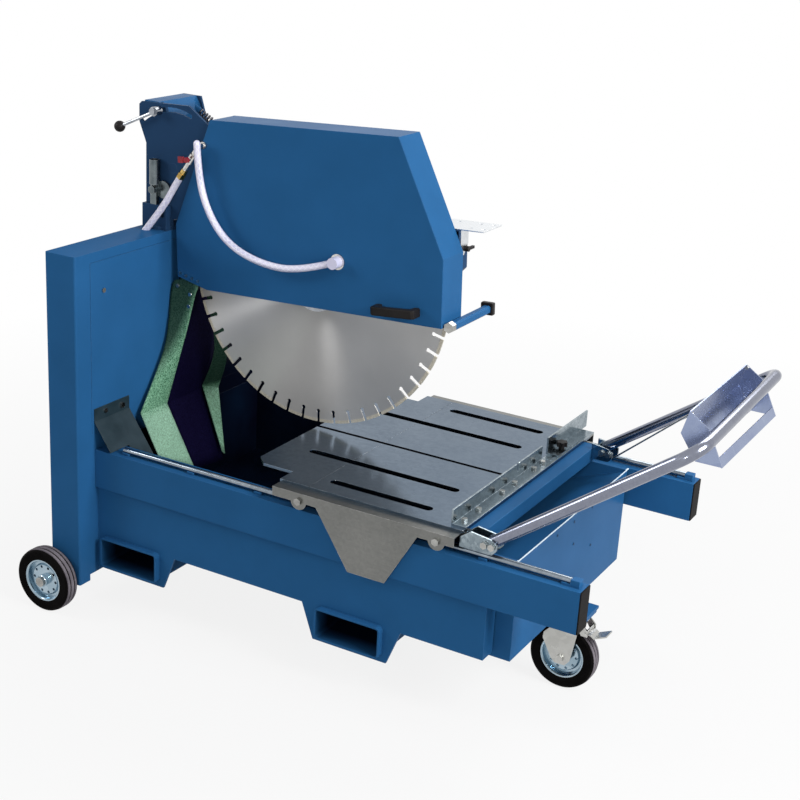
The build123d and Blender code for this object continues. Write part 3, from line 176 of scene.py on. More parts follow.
def new_group(name, inputs, outputs):
    """An empty node group. Each input is (name, type, value), and each output is (name, type)."""
    group = bpy.data.node_groups.new(name, "ShaderNodeTree")
    for label, kind, value in inputs:
        socket = group.interface.new_socket(label, in_out="INPUT", socket_type="NodeSocket" + kind)
        socket.default_value = value
    for label, kind in outputs:
        group.interface.new_socket(label, in_out="OUTPUT", socket_type="NodeSocket" + kind)
    return group, group.nodes.new("NodeGroupInput"), group.nodes.new("NodeGroupOutput")


def placed(tree, group, **inputs):
    """The outputs of one use of a group in a material, with its own values."""
    return make(tree, "Group", inputs, node_tree=group).outputs


def new_material(name, **shader):
    """A material with one Principled shader, whose plain values are given by name."""
    material = bpy.data.materials.new(name)
    material.use_nodes = True
    tree = material.node_tree
    bsdf = tree.nodes["Principled BSDF"]
    for key, value in shader.items():
        bsdf.inputs[key.replace("_", " ")].default_value = value
    return material, tree, bsdf


def feed(tree, bsdf, **sockets):
    """Links sockets to the shader's inputs by name."""
    for key, socket in sockets.items():
        tree.links.new(socket, bsdf.inputs[key.replace("_", " ")])


def bump(tree, height, distance, strength):
    return make(tree, "Bump", {"Height": height, "Distance": distance, "Strength": strength}).outputs[0]


def tell(*materials):
    print("materials", ", ".join(material.name for material in materials))


print("node helpers are ready")

# %% [markdown]
# ## Floor, backdrop and light
# The floor is a wide pale sheet that keeps a soft shadow near the wheels and melts into the white further
# out, so that no horizon shows. The world is white where the camera or a shiny surface looks at it, and
# dimmer where it only adds light, so a white background adds little light to the saw. Of the soft lamps, the
# strongest lights the faces towards the operator, the one behind the post draws a bright line along the
# tubes, and a small one is there for the blade.

# %% Floor, world and lamps
white = (1.0, 1.0, 1.0)
floor_reach = 30.0
floor_drop = 0.0005
floor_dark, floor_light = (0.48, 0.48, 0.48), (0.51, 0.51, 0.51)
floor_glow = 0.86
shadow_reach, white_reach = 1.0, 3.5
world_light = 0.32
# Each lamp has its place, the point it looks at, its size in metres and its power in watts.
lamps = {
    "key_lamp": ((3.9, -0.7, 3.2), (0.1, 0, 0.7), 2.0, 260),
    "near_fill": ((-1.2, -4.2, 2.6), (-0.1, 0, 0.7), 1.6, 3),
    "blade_lamp": ((1.4, -3.8, 1.9), (-0.3, 0, 0.9), 0.3, 30),
    "rear_rim": ((-2.8, -1.7, 2.4), (0.3, -0.2, 0.7), 1.1, 34),
    "top_lamp": ((0.2, 2.8, 3.6), (-0.1, 0, 0.6), 2.2, 84),
}


def seen_directly(tree):
    """1 where the camera, a shiny surface or clear plastic looks, and 0 where a surface only takes light."""
    paths = make(tree, "LightPath").outputs
    seen = maths(tree, "MAXIMUM", paths["Is Camera Ray"], paths["Is Glossy Ray"])
    return maths(tree, "MAXIMUM", seen, paths["Is Transmission Ray"])


def floor_finish():
    """A pale matt floor that glows near the saw and is plain white further out."""
    material, tree, bsdf = new_material("pale_floor", Roughness=0.9, Specular_IOR_Level=0.1)
    place = object_place(tree)
    feed(tree, bsdf, Base_Color=mixed(tree, noise(tree, place, 2.0), floor_dark, floor_light))
    glow = make(tree, "Emission", {"Color": rgba(white), "Strength": 1.0})
    away = vector(tree, "LENGTH", place)
    share = product(tree, seen_directly(tree), ramp(tree, away, shadow_reach, white_reach, floor_glow, 1.0))
    both = make(tree, "MixShader", {0: share, 1: bsdf.outputs[0], 2: glow.outputs[0]})
    tree.links.new(both.outputs[0], tree.nodes["Material Output"].inputs["Surface"])
    return material


def add_floor():
    mesh = bpy.data.meshes.new("floor")
    corners = [(-1, -1), (1, -1), (1, 1), (-1, 1)]
    mesh.from_pydata([(x * floor_reach, y * floor_reach, 0) for x, y in corners], [], [(0, 1, 2, 3)])
    mesh.materials.append(floor_finish())
    floor = link(bpy.data.objects.new("floor", mesh))
    floor.location.z = -floor_drop


def add_world():
    world = bpy.data.worlds.new("studio")
    bpy.context.scene.world = world
    world.use_nodes = True
    tree = world.node_tree
    sky = tree.nodes["Background"]
    sky.inputs["Color"].default_value = rgba(white)
    tree.links.new(ramp(tree, seen_directly(tree), 0.0, 1.0, world_light, 1.0), sky.inputs["Strength"])


def add_lamp(name, place, aim, size, power):
    lamp = bpy.data.lights.new(name, "AREA")
    lamp.size = size
    lamp.energy = power
    body = link(bpy.data.objects.new(name, lamp))
    body.location = place
    body.rotation_euler = (Vector(aim) - Vector(place)).to_track_quat("-Z", "Y").to_euler()


add_floor()
add_world()
for name, setting in lamps.items():
    add_lamp(name, *setting)
bpy.context.scene.view_settings.view_transform = "Standard"
print("floor, world and", len(lamps), "lamps")

# %% [markdown]
# ## Rubbed edges
# Paint, plastic and metal all wear bright where an edge is rubbed. A mask painted by hand would suit one
# piece only. Here the normal of a rounded corner is compared with the true one, which finds the edges of any
# piece, and noise breaks the line up. As a node group with named sockets it serves most finishes.

# %% Group: rubbed edges
def edge_group():
    """A mask that is 1 on outer edges, broken up by noise."""
    sockets = [("Width", "Float", 0.003), ("Amount", "Float", 1.0), ("Patches", "Float", 40.0)]
    tree, given, out = new_group("Rubbed edges", sockets, [("Mask", "Float")])
    rounded = make(tree, "Bevel", {"Radius": given.outputs["Width"]}, samples=6).outputs[0]
    plain = make(tree, "NewGeometry").outputs["Normal"]
    edge = ramp(tree, vector(tree, "DOT_PRODUCT", rounded, plain), 0.99, 0.86)
    spots = noise(tree, object_place(tree), given.outputs["Patches"], detail=5.0, rough=0.65)
    mask = product(tree, edge, ramp(tree, spots, 0.38, 0.62), given.outputs["Amount"])
    tree.links.new(mask, out.inputs["Mask"])
    return tree


rubbed_edges = edge_group()
print("group", rubbed_edges.name)

# %% [markdown]
# ## Fine grain
# Most finishes have a grain too fine to model, and broad clouds of slightly different tone. Both are noise in
# the piece's own place, which needs no unwrapping.

# %% Group: fine grain
def grain_group():
    """Fine noise at a chosen size as a height, and broad clouds as a tone."""
    sockets = [("Scale", "Float", 900.0), ("Clouds", "Float", 9.0)]
    tree, given, out = new_group("Fine grain", sockets, [("Height", "Float"), ("Tone", "Float")])
    place = object_place(tree)
    fine = noise(tree, place, given.outputs["Scale"], detail=2.0)
    clouds = noise(tree, place, given.outputs["Clouds"], detail=4.0, rough=0.55)
    tree.links.new(fine, out.inputs["Height"])
    tree.links.new(ramp(tree, clouds, 0.3, 0.7), out.inputs["Tone"])
    return tree


fine_grain = grain_group()
print("group", fine_grain.name)

# %% [markdown]
# ## Drawn streaks
# Rolled and drawn steel has long thin streaks. They could be painted too, but noise that is squeezed in two
# directions gives them on any piece.

# %% Group: drawn streaks
def streak_group():
    """Long thin streaks along X, as rolled and drawn steel shows."""
    sockets = [("Stretch", "Vector", (6.0, 420.0, 420.0))]
    tree, given, out = new_group("Drawn streaks", sockets, [("Streak", "Float")])
    place = vector(tree, "MULTIPLY", object_place(tree), given.outputs["Stretch"])
    lines = noise(tree, place, 1.0, detail=4.0, rough=0.6)
    tree.links.new(ramp(tree, lines, 0.3, 0.7), out.inputs["Streak"])
    return tree


drawn_streaks = streak_group()
print("group", drawn_streaks.name)

# %% [markdown]
# ## Blue enamel
# Frame, post and guard are sprayed with dark blue enamel, and a darker copy of it on the tower is painted
# shade.
# Up close the enamel has a faint orange-peel skin, a slow change of tone, and thin bright lines where an edge
# is rubbed. A clear coat would be too shiny, so the gloss comes from the paint's own roughness. One mask can
# lay painted shade with a lower roughness over the paint, and another one a painted highlight.

# %% Material: blue enamel
enamel_blue = (0.0185, 0.099, 0.245)
# A darker copy of the enamel, which is painted shade on the tower, head arm, switch box and tub screws.
tower_blue_shaded = (0.018, 0.050, 0.115)
deep_share = 0.88
rubbed_blue = (0.12, 0.22, 0.36)
# The dark colour that the masks lay over the enamel as painted shade.
painted_shade_tone = (0.0014, 0.0010, 0.0040)
# The pale colour of a painted highlight.
painted_highlight_tone = (0.58, 0.68, 0.76)


def blue_enamel(name, tone=enamel_blue, shade_mask=None, highlight_mask=None):
    """Enamel in one blue, with a mask for painted shade on the paint and one for a pale painted highlight."""
    material, tree, bsdf = new_material(name, IOR=1.09)
    grain = placed(tree, fine_grain, Scale=520.0, Clouds=5.0)
    deep = [v * deep_share for v in tone]
    edge = placed(tree, rubbed_edges, Width=0.0025, Amount=0.35, Patches=55.0)["Mask"]
    colour = mixed(tree, edge, mixed(tree, grain["Tone"], deep, tone), rubbed_blue)
    gloss = ramp(tree, grain["Tone"], 0.0, 1.0, 0.34, 0.28)
    # Painted shade: the mask darkens the enamel and lowers its roughness.
    if shade_mask:
        painted_shade = shade_mask(tree)
        colour = mixed(tree, painted_shade, colour, painted_shade_tone)
        gloss = ramp(tree, painted_shade, 0.0, 1.0, gloss, 0.22)
    # Painted highlight: a pale line where the mask is 1.
    if highlight_mask:
        colour = mixed(tree, highlight_mask(tree), colour, painted_highlight_tone)
    feed(tree, bsdf, Base_Color=colour, Roughness=gloss, Normal=bump(tree, grain["Height"], 0.00006, 0.5))
    return material


blue = blue_enamel("blue_enamel")
# The tower's copy is darker as painted shade.
blue_shaded_tower = blue_enamel("blue_enamel_tower_shaded", tower_blue_shaded)
tell(blue, blue_shaded_tower)

# %% [markdown]
# ## Painted shade and a painted highlight on the enamel
# Painted shade darkens the paint inside the tub, on the post behind the blade, in the fork pockets and on the
# roof's flap, and a painted highlight lies on the top edge of the tub's end. Masks painted in a picture would
# need an unwrapped mesh. Most faces here are flat, so a few limits on the place in the shared frame, many of
# them taken from a piece's box, pick them out.

# %% Material: enamel with painted shade and a painted highlight
# An inset leads from a piece's box to the limit of its mask.
tub_low, tub_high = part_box("water_tub")
side_inset, end_inset, floor_inset = 0.017, 0.207, 0.002
highlight_inset, highlight_depth = 0.0045, 0.0027
post_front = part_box("post_column")[1].x
front_inset = 0.0015
roof_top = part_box("tower_roof")[1].z
flap_start, flap_full = 0.014, 0.034
pocket_low, pocket_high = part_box("fork_pockets")
pocket_half, pocket_inset = 0.106, 0.00525
# Each pair says where a painted shade begins and where it is full.
shade_near, shade_far, shade_top = (0.035, 0.075), (0.44, 0.37), (0.98, 0.90)
shade_waver = 0.03
pocket_mouth = (0.475, 0.40)
shade_share = 0.96


def above(tree, value, limit, blur=0.001):
    """1 over a limit and 0 under it, with a narrow soft step."""
    return ramp(tree, value, limit - blur / 2, limit + blur / 2)


def below(tree, value, limit, blur=0.001):
    """1 under a limit and 0 over it, with a narrow soft step."""
    return ramp(tree, value, limit + blur / 2, limit - blur / 2)


def size_of(tree, value):
    return maths(tree, "ABSOLUTE", value)


def tub_shade(tree):
    """1 on the tub's inner faces, which get painted shade: between its sides, behind its end and above its
    underside.
    """
    place = object_place(tree)
    x, y, z = parts_of(tree, place)
    inside = below(tree, size_of(tree, y), tub_high.y - side_inset)
    behind = below(tree, x, tub_high.x - end_inset)
    clouds = ramp(tree, noise(tree, place, 6.0, detail=5.0), 0.25, 0.75, 0.94, 1.0)
    return product(tree, inside, behind, above(tree, z, tub_low.z + floor_inset), clouds)


def end_edge_highlight(tree):
    """1 on the top edge of the tub's front wall, where a pale line is painted as a highlight."""
    x, _, z = parts_of(tree, object_place(tree))
    top = above(tree, z, tub_high.z - highlight_depth, blur=0.0006)
    return product(tree, above(tree, x, tub_high.x - highlight_inset), top)


def post_shade(tree):
    """Nearly 1 on the post's front behind the blade, which gets painted shade, and 0 at its sides and top."""
    place = object_place(tree)
    x, y, z = parts_of(tree, place)
    edge = maths(tree, "MULTIPLY_ADD", noise(tree, place, 9.0, detail=4.0), shade_waver, y)
    across = product(tree, ramp(tree, edge, *shade_near, 0.0, 0.98), ramp(tree, edge, *shade_far))
    return product(tree, across, above(tree, x, post_front - front_inset), ramp(tree, z, *shade_top))


def pocket_shade(tree):
    """Nearly 1 on the inner faces of the two fork pockets, which get painted shade, and less near their mouths.
    """
    x, y, z = parts_of(tree, object_place(tree))
    middles = (pocket_low.x + pocket_half, pocket_high.x - pocket_half)
    aside = [size_of(tree, maths(tree, "SUBTRACT", x, middle)) for middle in middles]
    within = below(tree, maths(tree, "MINIMUM", *aside), pocket_half - pocket_inset, blur=0.0005)
    floor = above(tree, z, pocket_low.z + pocket_inset, blur=0.0005)
    roof = below(tree, z, pocket_high.z - pocket_inset, blur=0.0005)
    return product(tree, ramp(tree, size_of(tree, y), *pocket_mouth, 0.30, shade_share), within, floor, roof)


def roof_shade(tree):
    """A lighter painted shade on the roof's front flap, where it hangs down behind the tower's plate."""
    z = parts_of(tree, object_place(tree))["Z"]
    return ramp(tree, z, roof_top - flap_start, roof_top - flap_full, 0.0, 0.45)


blue_shaded_tub = blue_enamel("blue_enamel_shaded_inside", shade_mask=tub_shade, highlight_mask=end_edge_highlight)
blue_shaded_post = blue_enamel("blue_enamel_shaded_behind_blade", shade_mask=post_shade)
blue_shaded_roof = blue_enamel("blue_enamel_roof_shaded", shade_mask=roof_shade)
blue_shaded_pockets = blue_enamel("blue_enamel_pockets_shaded", shade_mask=pocket_shade)
tell(blue_shaded_tub, blue_shaded_post, blue_shaded_roof, blue_shaded_pockets)

# %% [markdown]
# ## Zinc
# The table, its apron, the handle and the wheel rims are zinc-coated sheet and tube. Zinc shows soft crystals
# and faint rolling streaks. With more streak it reads as brushed and with less as plated, so one function
# with a few values gives all its kinds.

# %% Material: zinc sheet
rubbed_zinc = (0.78, 0.78, 0.77)


def zinc(name, dark, light, rough, spangle, streak, relief=0.12):
    """Zinc-coated steel: crystals of slightly different tone, streaks and rubbed edges."""
    material, tree, bsdf = new_material(name, Metallic=1.0)
    crystals = make(tree, "TexVoronoi", {"Vector": object_place(tree), "Scale": spangle}).outputs["Color"]
    crystal = make(tree, "SeparateColor", {0: crystals}).outputs[0]
    grain = placed(tree, fine_grain, Scale=700.0, Clouds=7.0)
    lines = placed(tree, drawn_streaks)["Streak"]
    share = maths(tree, "MULTIPLY_ADD", crystal, 0.35, product(tree, grain["Tone"], 0.45))
    share = maths(tree, "MULTIPLY_ADD", lines, streak * 0.5, share)
    edge = placed(tree, rubbed_edges, Width=0.002, Amount=0.6, Patches=60.0)["Mask"]
    tone = mixed(tree, edge, mixed(tree, share, dark, light), rubbed_zinc)
    shine = maths(tree, "MULTIPLY_ADD", lines, streak, share)
    gloss = ramp(tree, shine, 0.0, 1.2, rough + 0.08, rough - 0.05)
    height = maths(tree, "MULTIPLY_ADD", lines, streak, grain["Height"])
    feed(tree, bsdf, Base_Color=tone, Roughness=gloss, Normal=bump(tree, height, 0.00003, relief))
    return material


zinc_sheet = zinc("zinc_sheet", (0.150, 0.154, 0.148), (0.215, 0.216, 0.206),
                  rough=0.33, spangle=140.0, streak=0.5)
zinc_tube = zinc("zinc_tube", (0.20, 0.21, 0.265), (0.27, 0.29, 0.35),
                 rough=0.15, spangle=160.0, streak=0.2, relief=0.02)
table_steel = zinc("table_steel", (0.072, 0.112, 0.165), (0.140, 0.192, 0.255),
                   rough=0.20, spangle=90.0, streak=0.4, relief=0.05)
bright_zinc = zinc("bright_zinc", (0.090, 0.130, 0.160), (0.44, 0.51, 0.55),
                   rough=0.16, spangle=120.0, streak=0.2)
guard_zinc = zinc("guard_zinc", (0.23, 0.28, 0.44), (0.35, 0.41, 0.56),
                  rough=0.22, spangle=25.0, streak=0.0, relief=0.02)
rim_zinc = zinc("rim_zinc", (0.24, 0.34, 0.41), (0.52, 0.62, 0.69),
                rough=0.12, spangle=40.0, streak=0.0, relief=0.02)
fork_zinc = zinc("fork_zinc", (0.42, 0.42, 0.40), (0.58, 0.58, 0.56),
                 rough=0.24, spangle=60.0, streak=0.0, relief=0.04)
pale_plate = zinc("pale_plate", (0.62, 0.64, 0.66), (0.76, 0.78, 0.80),
                  rough=0.30, spangle=120.0, streak=0.1)
tell(zinc_sheet, zinc_tube, table_steel, bright_zinc, guard_zinc, rim_zinc, fork_zinc, pale_plate)

# %% [markdown]
# ## Machined steel
# Pins, bolts, rollers and rails are turned or drawn, and plainer than the zinc. Rings and threads could be
# drawn on them, but a metal with a fine grain and bright edges is enough for pieces of this size.

# %% Material: machined steel
rubbed_steel = (0.8, 0.8, 0.79)


def machined(name, dark, light, rough):
    material, tree, bsdf = new_material(name, Metallic=1.0)
    grain = placed(tree, fine_grain, Scale=1100.0, Clouds=25.0)
    edge = placed(tree, rubbed_edges, Width=0.0012, Amount=0.7, Patches=120.0)["Mask"]
    tone = mixed(tree, edge, mixed(tree, grain["Tone"], dark, light), rubbed_steel)
    gloss = ramp(tree, grain["Tone"], 0.0, 1.0, rough + 0.07, rough - 0.05)
    feed(tree, bsdf, Base_Color=tone, Roughness=gloss, Normal=bump(tree, grain["Height"], 0.00003, 0.3))
    return material


bright_steel = machined("bright_steel", (0.24, 0.26, 0.29), (0.44, 0.46, 0.49), rough=0.22)
rail_steel = machined("rail_steel", (0.15, 0.18, 0.21), (0.32, 0.36, 0.40), rough=0.17)
socket_steel = machined("socket_steel", (0.085, 0.105, 0.115), (0.19, 0.22, 0.23), rough=0.28)
bolt_steel = machined("bolt_steel", (0.22, 0.22, 0.21), (0.48, 0.48, 0.46), rough=0.26)
spring_steel = machined("spring_steel", (0.045, 0.045, 0.05), (0.10, 0.10, 0.11), rough=0.32)
tell(bright_steel, rail_steel, socket_steel, bolt_steel, spring_steel)

# %% [markdown]
# ## The valve and the gland
# The water valve is nickel with a brass hose tail, and the gland on the guard has a milky plastic elbow. All
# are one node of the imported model, so one material tells them apart by place: the brass by the distance along
# the valve, and the elbow by the distance from its own axis.

# %% Material: valve metal
drawing_shift = 822


def in_row(x, y, z):
    """A point in the drawing's millimetres, as a place in the shared frame."""
    return Vector(((x - drawing_shift) / 1000, y / 1000, z / 1000))


valve_foot = in_row(50, -122, 1282.6)
valve_way = Vector((0.563, 0, 0.826))
brass_length = 0.032
gland_place = in_row(597.3, -105.5, 1119)
gland_radius = 0.0175
milky_plastic = (0.58, 0.57, 0.72)


def gland_elbow(tree):
    """1 on the plastic elbow that stands out of the gland's ring."""
    arm, radius = about_axle(tree, gland_place)
    outside = ramp(tree, parts_of(tree, arm)["Y"], 0.0005, 0.0)
    return product(tree, outside, below(tree, radius, gland_radius + 0.0004, blur=0.0004))


def valve_metal():
    """Brass, milky plastic and nickel, each in its own place."""
    material, tree, bsdf = new_material("valve_metal")
    grain = placed(tree, fine_grain, Scale=900.0, Clouds=60.0)
    arm = vector(tree, "SUBTRACT", object_place(tree), valve_foot)
    plated = above(tree, vector(tree, "DOT_PRODUCT", arm, valve_way), brass_length, blur=0.0006)
    brass = mixed(tree, grain["Tone"], (0.30, 0.19, 0.05), (0.62, 0.44, 0.15))
    nickel = mixed(tree, grain["Tone"], (0.46, 0.45, 0.43), (0.72, 0.71, 0.69))
    plastic = gland_elbow(tree)
    tone = mixed(tree, plastic, mixed(tree, plated, brass, nickel), milky_plastic)
    gloss = ramp(tree, plastic, 0.0, 1.0, ramp(tree, grain["Tone"], 0.0, 1.0, 0.26, 0.18), 0.3)
    feed(tree, bsdf, Base_Color=tone, Roughness=gloss, Metallic=ramp(tree, plastic, 0.0, 1.0, 1.0, 0.0),
         Normal=bump(tree, grain["Height"], 0.00003, 0.3))
    return material


valve_finish = valve_metal()
print("material", valve_finish.name, "with", brass_length, "m of brass")

# %% [markdown]
# ## The blade
# A diamond blade is a ground steel disc with dull segments brazed round its rim. Grinding leaves fine rings
# about the spindle, and rings draw a highlight out along the radius into bright fans. The shader's
# anisotropic highlight gives those fans: its tangent runs round the axis, and a quarter turn points it along
# the radius. The segments are told apart by their distance from the axis.

# %% Material: blade steel
blade_low, blade_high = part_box("saw_blade")
blade_axis = (blade_low + blade_high) / 2
segment_start = 0.4305
rings_per_metre = 900.0
quarter_turn = 0.25


def ground_rings(tree, radius):
    """Noise that changes with the distance from the axis alone."""
    inputs = {"W": product(tree, radius, rings_per_metre), "Scale": 1.0, "Detail": 3.0}
    return make(tree, "TexNoise", inputs, noise_dimensions="1D").outputs[0]


def blade_steel():
    material, tree, bsdf = new_material("blade_steel", Anisotropic=1.0, Anisotropic_Rotation=quarter_turn)
    feed(tree, bsdf, Tangent=make(tree, "Tangent", direction_type="RADIAL", axis="Y").outputs[0])
    arm, radius = about_axle(tree, blade_axis)
    rings = ground_rings(tree, radius)
    clouds = ramp(tree, noise(tree, arm, 5.0, detail=4.0), 0.3, 0.7)
    share = maths(tree, "MULTIPLY_ADD", rings, 0.5, product(tree, clouds, 0.4))
    core = mixed(tree, share, (0.39, 0.385, 0.38), (0.53, 0.525, 0.515))
    grit = noise(tree, arm, 500.0, rough=0.7)
    rim = mixed(tree, ramp(tree, grit, 0.35, 0.65), (0.40, 0.36, 0.28), (0.70, 0.66, 0.56))
    segment = above(tree, radius, segment_start, blur=0.0008)
    gloss = ramp(tree, segment, 0.0, 1.0, ramp(tree, rings, 0.3, 0.7, 0.44, 0.39), 0.62)
    height = maths(tree, "MULTIPLY_ADD", grit, segment, product(tree, rings, 0.12))
    feed(tree, bsdf, Base_Color=mixed(tree, segment, core, rim), Roughness=gloss,
         Metallic=ramp(tree, segment, 0.0, 1.0, 0.75, 0.2), Normal=bump(tree, height, 0.0003, 0.3))
    return material


ground_blade = blade_steel()
print("material", ground_blade.name, "about the axis", [round(v, 3) for v in blade_axis])

# %% [markdown]
# ## Rubber, plastic and paint on small pieces
# Caps, grips and knobs are black, but not the same black: moulded plastic has a tight even grain, and the
# belt is dull. The red lever, the dark deflector and the motor's paint differ from them in tone, grain and
# shine only, so one function with a few values gives them all.

# %% Material: moulded plastic and rubber
def moulded(name, dark, light, rough, grain_scale, depth, edge_tone, refraction=1.45):
    material, tree, bsdf = new_material(name, IOR=refraction)
    grain = placed(tree, fine_grain, Scale=grain_scale, Clouds=14.0)
    edge = placed(tree, rubbed_edges, Width=0.002, Amount=0.5, Patches=90.0)["Mask"]
    tone = mixed(tree, edge, mixed(tree, grain["Tone"], dark, light), edge_tone)
    gloss = ramp(tree, grain["Tone"], 0.0, 1.0, rough - 0.05, rough + 0.06)
    feed(tree, bsdf, Base_Color=tone, Roughness=gloss, Normal=bump(tree, grain["Height"], depth, 0.5))
    return material


black_plastic = moulded("black_plastic", (0.008, 0.007, 0.007), (0.016, 0.014, 0.014), rough=0.40,
                        grain_scale=1500.0, depth=0.0001, edge_tone=(0.05, 0.05, 0.05), refraction=1.2)
cap_plastic = moulded("cap_plastic", (0.002, 0.002, 0.002), (0.010, 0.009, 0.009), rough=0.50,
                      grain_scale=260.0, depth=0.0006, edge_tone=(0.03, 0.03, 0.03), refraction=1.12)
belt_rubber = moulded("belt_rubber", (0.012, 0.012, 0.012), (0.022, 0.021, 0.02), rough=0.7,
                      grain_scale=800.0, depth=0.0002, edge_tone=(0.05, 0.05, 0.05))
red_dip = moulded("red_dip", (0.17, 0.003, 0.012), (0.29, 0.006, 0.020), rough=0.24,
                  grain_scale=600.0, depth=0.0001, edge_tone=(0.50, 0.10, 0.12))
dark_sheet = moulded("dark_sheet", (0.010, 0.022, 0.030), (0.024, 0.042, 0.054), rough=0.36,
                     grain_scale=500.0, depth=0.0001, edge_tone=(0.16, 0.20, 0.21), refraction=1.25)
motor_paint = moulded("motor_paint", (0.10, 0.115, 0.13), (0.15, 0.165, 0.18), rough=0.48,
                      grain_scale=350.0, depth=0.0004, edge_tone=(0.25, 0.26, 0.27))
tell(black_plastic, cap_plastic, belt_rubber, red_dip, dark_sheet, motor_paint)

# %% [markdown]
# ## Tyres
# Tyre rubber is black on the sides and scuffed grey where it rolls. Two materials would need the tread's
# faces to be picked, so one material finds the tread by its distance from the wheel's axle. Each wheel has
# its own axle, and so its own copy.

# %% Material: tyre rubber
tread_depth = 0.0012
tyre_nodes = ("near_tyre", "far_tyre", "caster_tyre")


def tyre_rubber(node):
    """Black rubber that is scuffed grey on the tread."""
    material, tree, bsdf = new_material(node + "_rubber", IOR=1.06)
    low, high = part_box(node)
    outer = (high.z - low.z) / 2
    grain = placed(tree, fine_grain, Scale=700.0, Clouds=20.0)
    _, radius = about_axle(tree, (low + high) / 2)
    tread = ramp(tree, radius, outer - 2 * tread_depth, outer - tread_depth)
    black = mixed(tree, grain["Tone"], (0.0025, 0.0022, 0.0022), (0.006, 0.0055, 0.0055))
    scuffed = mixed(tree, grain["Tone"], (0.11, 0.10, 0.115), (0.20, 0.18, 0.20))
    feed(tree, bsdf, Base_Color=mixed(tree, tread, black, scuffed),
         Roughness=ramp(tree, tread, 0.0, 1.0, 0.45, 0.65), Normal=bump(tree, grain["Height"], 0.0002, 0.4))
    return material


tyre_finish = {node: tyre_rubber(node) for node in tyre_nodes}
tell(*tyre_finish.values())

# %% [markdown]
# ## Soft rounding on the rigid pieces
# Sheet metal and castings never end in a perfect corner, and it is the rounded corner that catches light.
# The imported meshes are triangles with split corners, so three modifiers work in turn: the corners are welded,
# flat triangles are merged into whole faces, and a narrow bevel rounds what is left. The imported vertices
# themselves stay.

# %% Dress the rigid pieces
finish_of = {
    blue: "side_beams skid_plates guard_shell guard_cover belt_box front_bar caster_mount cross_tube",
    # The next four finishes carry painted shade, and the tub's one also a painted highlight.
    blue_shaded_roof: "tower_roof",
    blue_shaded_pockets: "fork_pockets",
    blue_shaded_tub: "water_tub",
    blue_shaded_post: "post_cover post_column",
    # The tower, head arm and switch box take the enamel's darker copy, which is painted shade.
    blue_shaded_tower: "tower head_arm switch_box",
    dark_sheet: "splash_deflector",
    zinc_sheet: "table_channels",
    guard_zinc: "hand_guard",
    table_steel: "table_plates",
    zinc_tube: "handle_bail",
    bright_zinc: "fence stop_angle handle_brackets",
    fork_zinc: "caster_fork brake_pedal",
    rim_zinc: "near_rim far_rim caster_rim",
    pale_plate: "control_plate",
    rail_steel: "guide_rails",
    bright_steel: "clamp_lever spindle spindle_bearings motor_pulley front_rollers rear_rollers",
    socket_steel: "lift_socket",
    bolt_steel: "frame_bolts head_bolts table_bolts",
    ground_blade: "saw_blade",
    black_plastic: "clamp_knob black_grips star_knob water_pump switch_lever",
    cap_plastic: "beam_end_caps",
    belt_rubber: "drive_belt",
    red_dip: "valve_lever",
    valve_finish: "water_valve",
    motor_paint: "motor",
}
rounded_by = {
    0.0006: "hand_guard control_plate",
    0.0008: "splash_deflector fence stop_angle",
    0.001: "skid_plates fork_pockets table_channels tower_roof handle_brackets water_tub",
    0.0012: "guard_cover table_plates",
    0.0015: "tower head_arm",
    0.002: "side_beams cross_tube beam_end_caps front_bar",
    0.0025: "guard_shell",
    0.003: "post_column switch_box belt_box",
    0.004: "black_grips",
}
weld_reach = 0.000005
flat_angle = math.radians(0.5)
corner_angle = math.radians(38)


def paint(piece, material):
    piece.data.materials.clear()
    piece.data.materials.append(material)


def round_edges(piece, width):
    piece.modifiers.new("weld", "WELD").merge_threshold = weld_reach
    merge = piece.modifiers.new("flat_faces", "DECIMATE")
    merge.decimate_type = "DISSOLVE"
    merge.angle_limit = flat_angle
    bevel = piece.modifiers.new("round_edges", "BEVEL")
    bevel.width = width
    bevel.segments = 2
    bevel.limit_method = "ANGLE"
    bevel.angle_limit = corner_angle
    bevel.use_clamp_overlap = True
    bevel.harden_normals = True


def each_name(table):
    """Every node's name in a table of lists, with the table's key for it."""
    return [(name, key) for key, names in table.items() for name in names.split()]


dressed = each_name(finish_of) + list(tyre_finish.items())
for name, material in dressed:
    paint(nodes[name], material)
rounded = each_name(rounded_by)
for name, width in rounded:
    round_edges(nodes[name], width)
print("dressed", len(dressed), "nodes,", len(rounded), "rounded")

# %% [markdown]
# ## Hose plastic
# The two water hoses are clear plastic with a woven layer, which looks milky from a distance. Modelled
# threads would be far too many, so the weave is two families of lines that cross, in coordinates that the
# tube's mesh brings along.

# %% Material: hose plastic
weave_turns = 55.0
weave_threads = 4.0
milky_dark, milky_light = (0.60, 0.58, 0.73), (0.74, 0.72, 0.84)
clear_tone = (0.24, 0.27, 0.46)
thread_tone = (0.90, 0.90, 0.94)


def hose_weave(tree, around, along):
    """1 on the threads, which run round the tube both ways."""
    threads = []
    for turns in (weave_turns, -weave_turns):
        phase = maths(tree, "MULTIPLY_ADD", along, turns, product(tree, around, weave_threads))
        threads.append(ramp(tree, maths(tree, "PINGPONG", phase, 0.5), 0.36, 0.48))
    return maths(tree, "MAXIMUM", *threads)


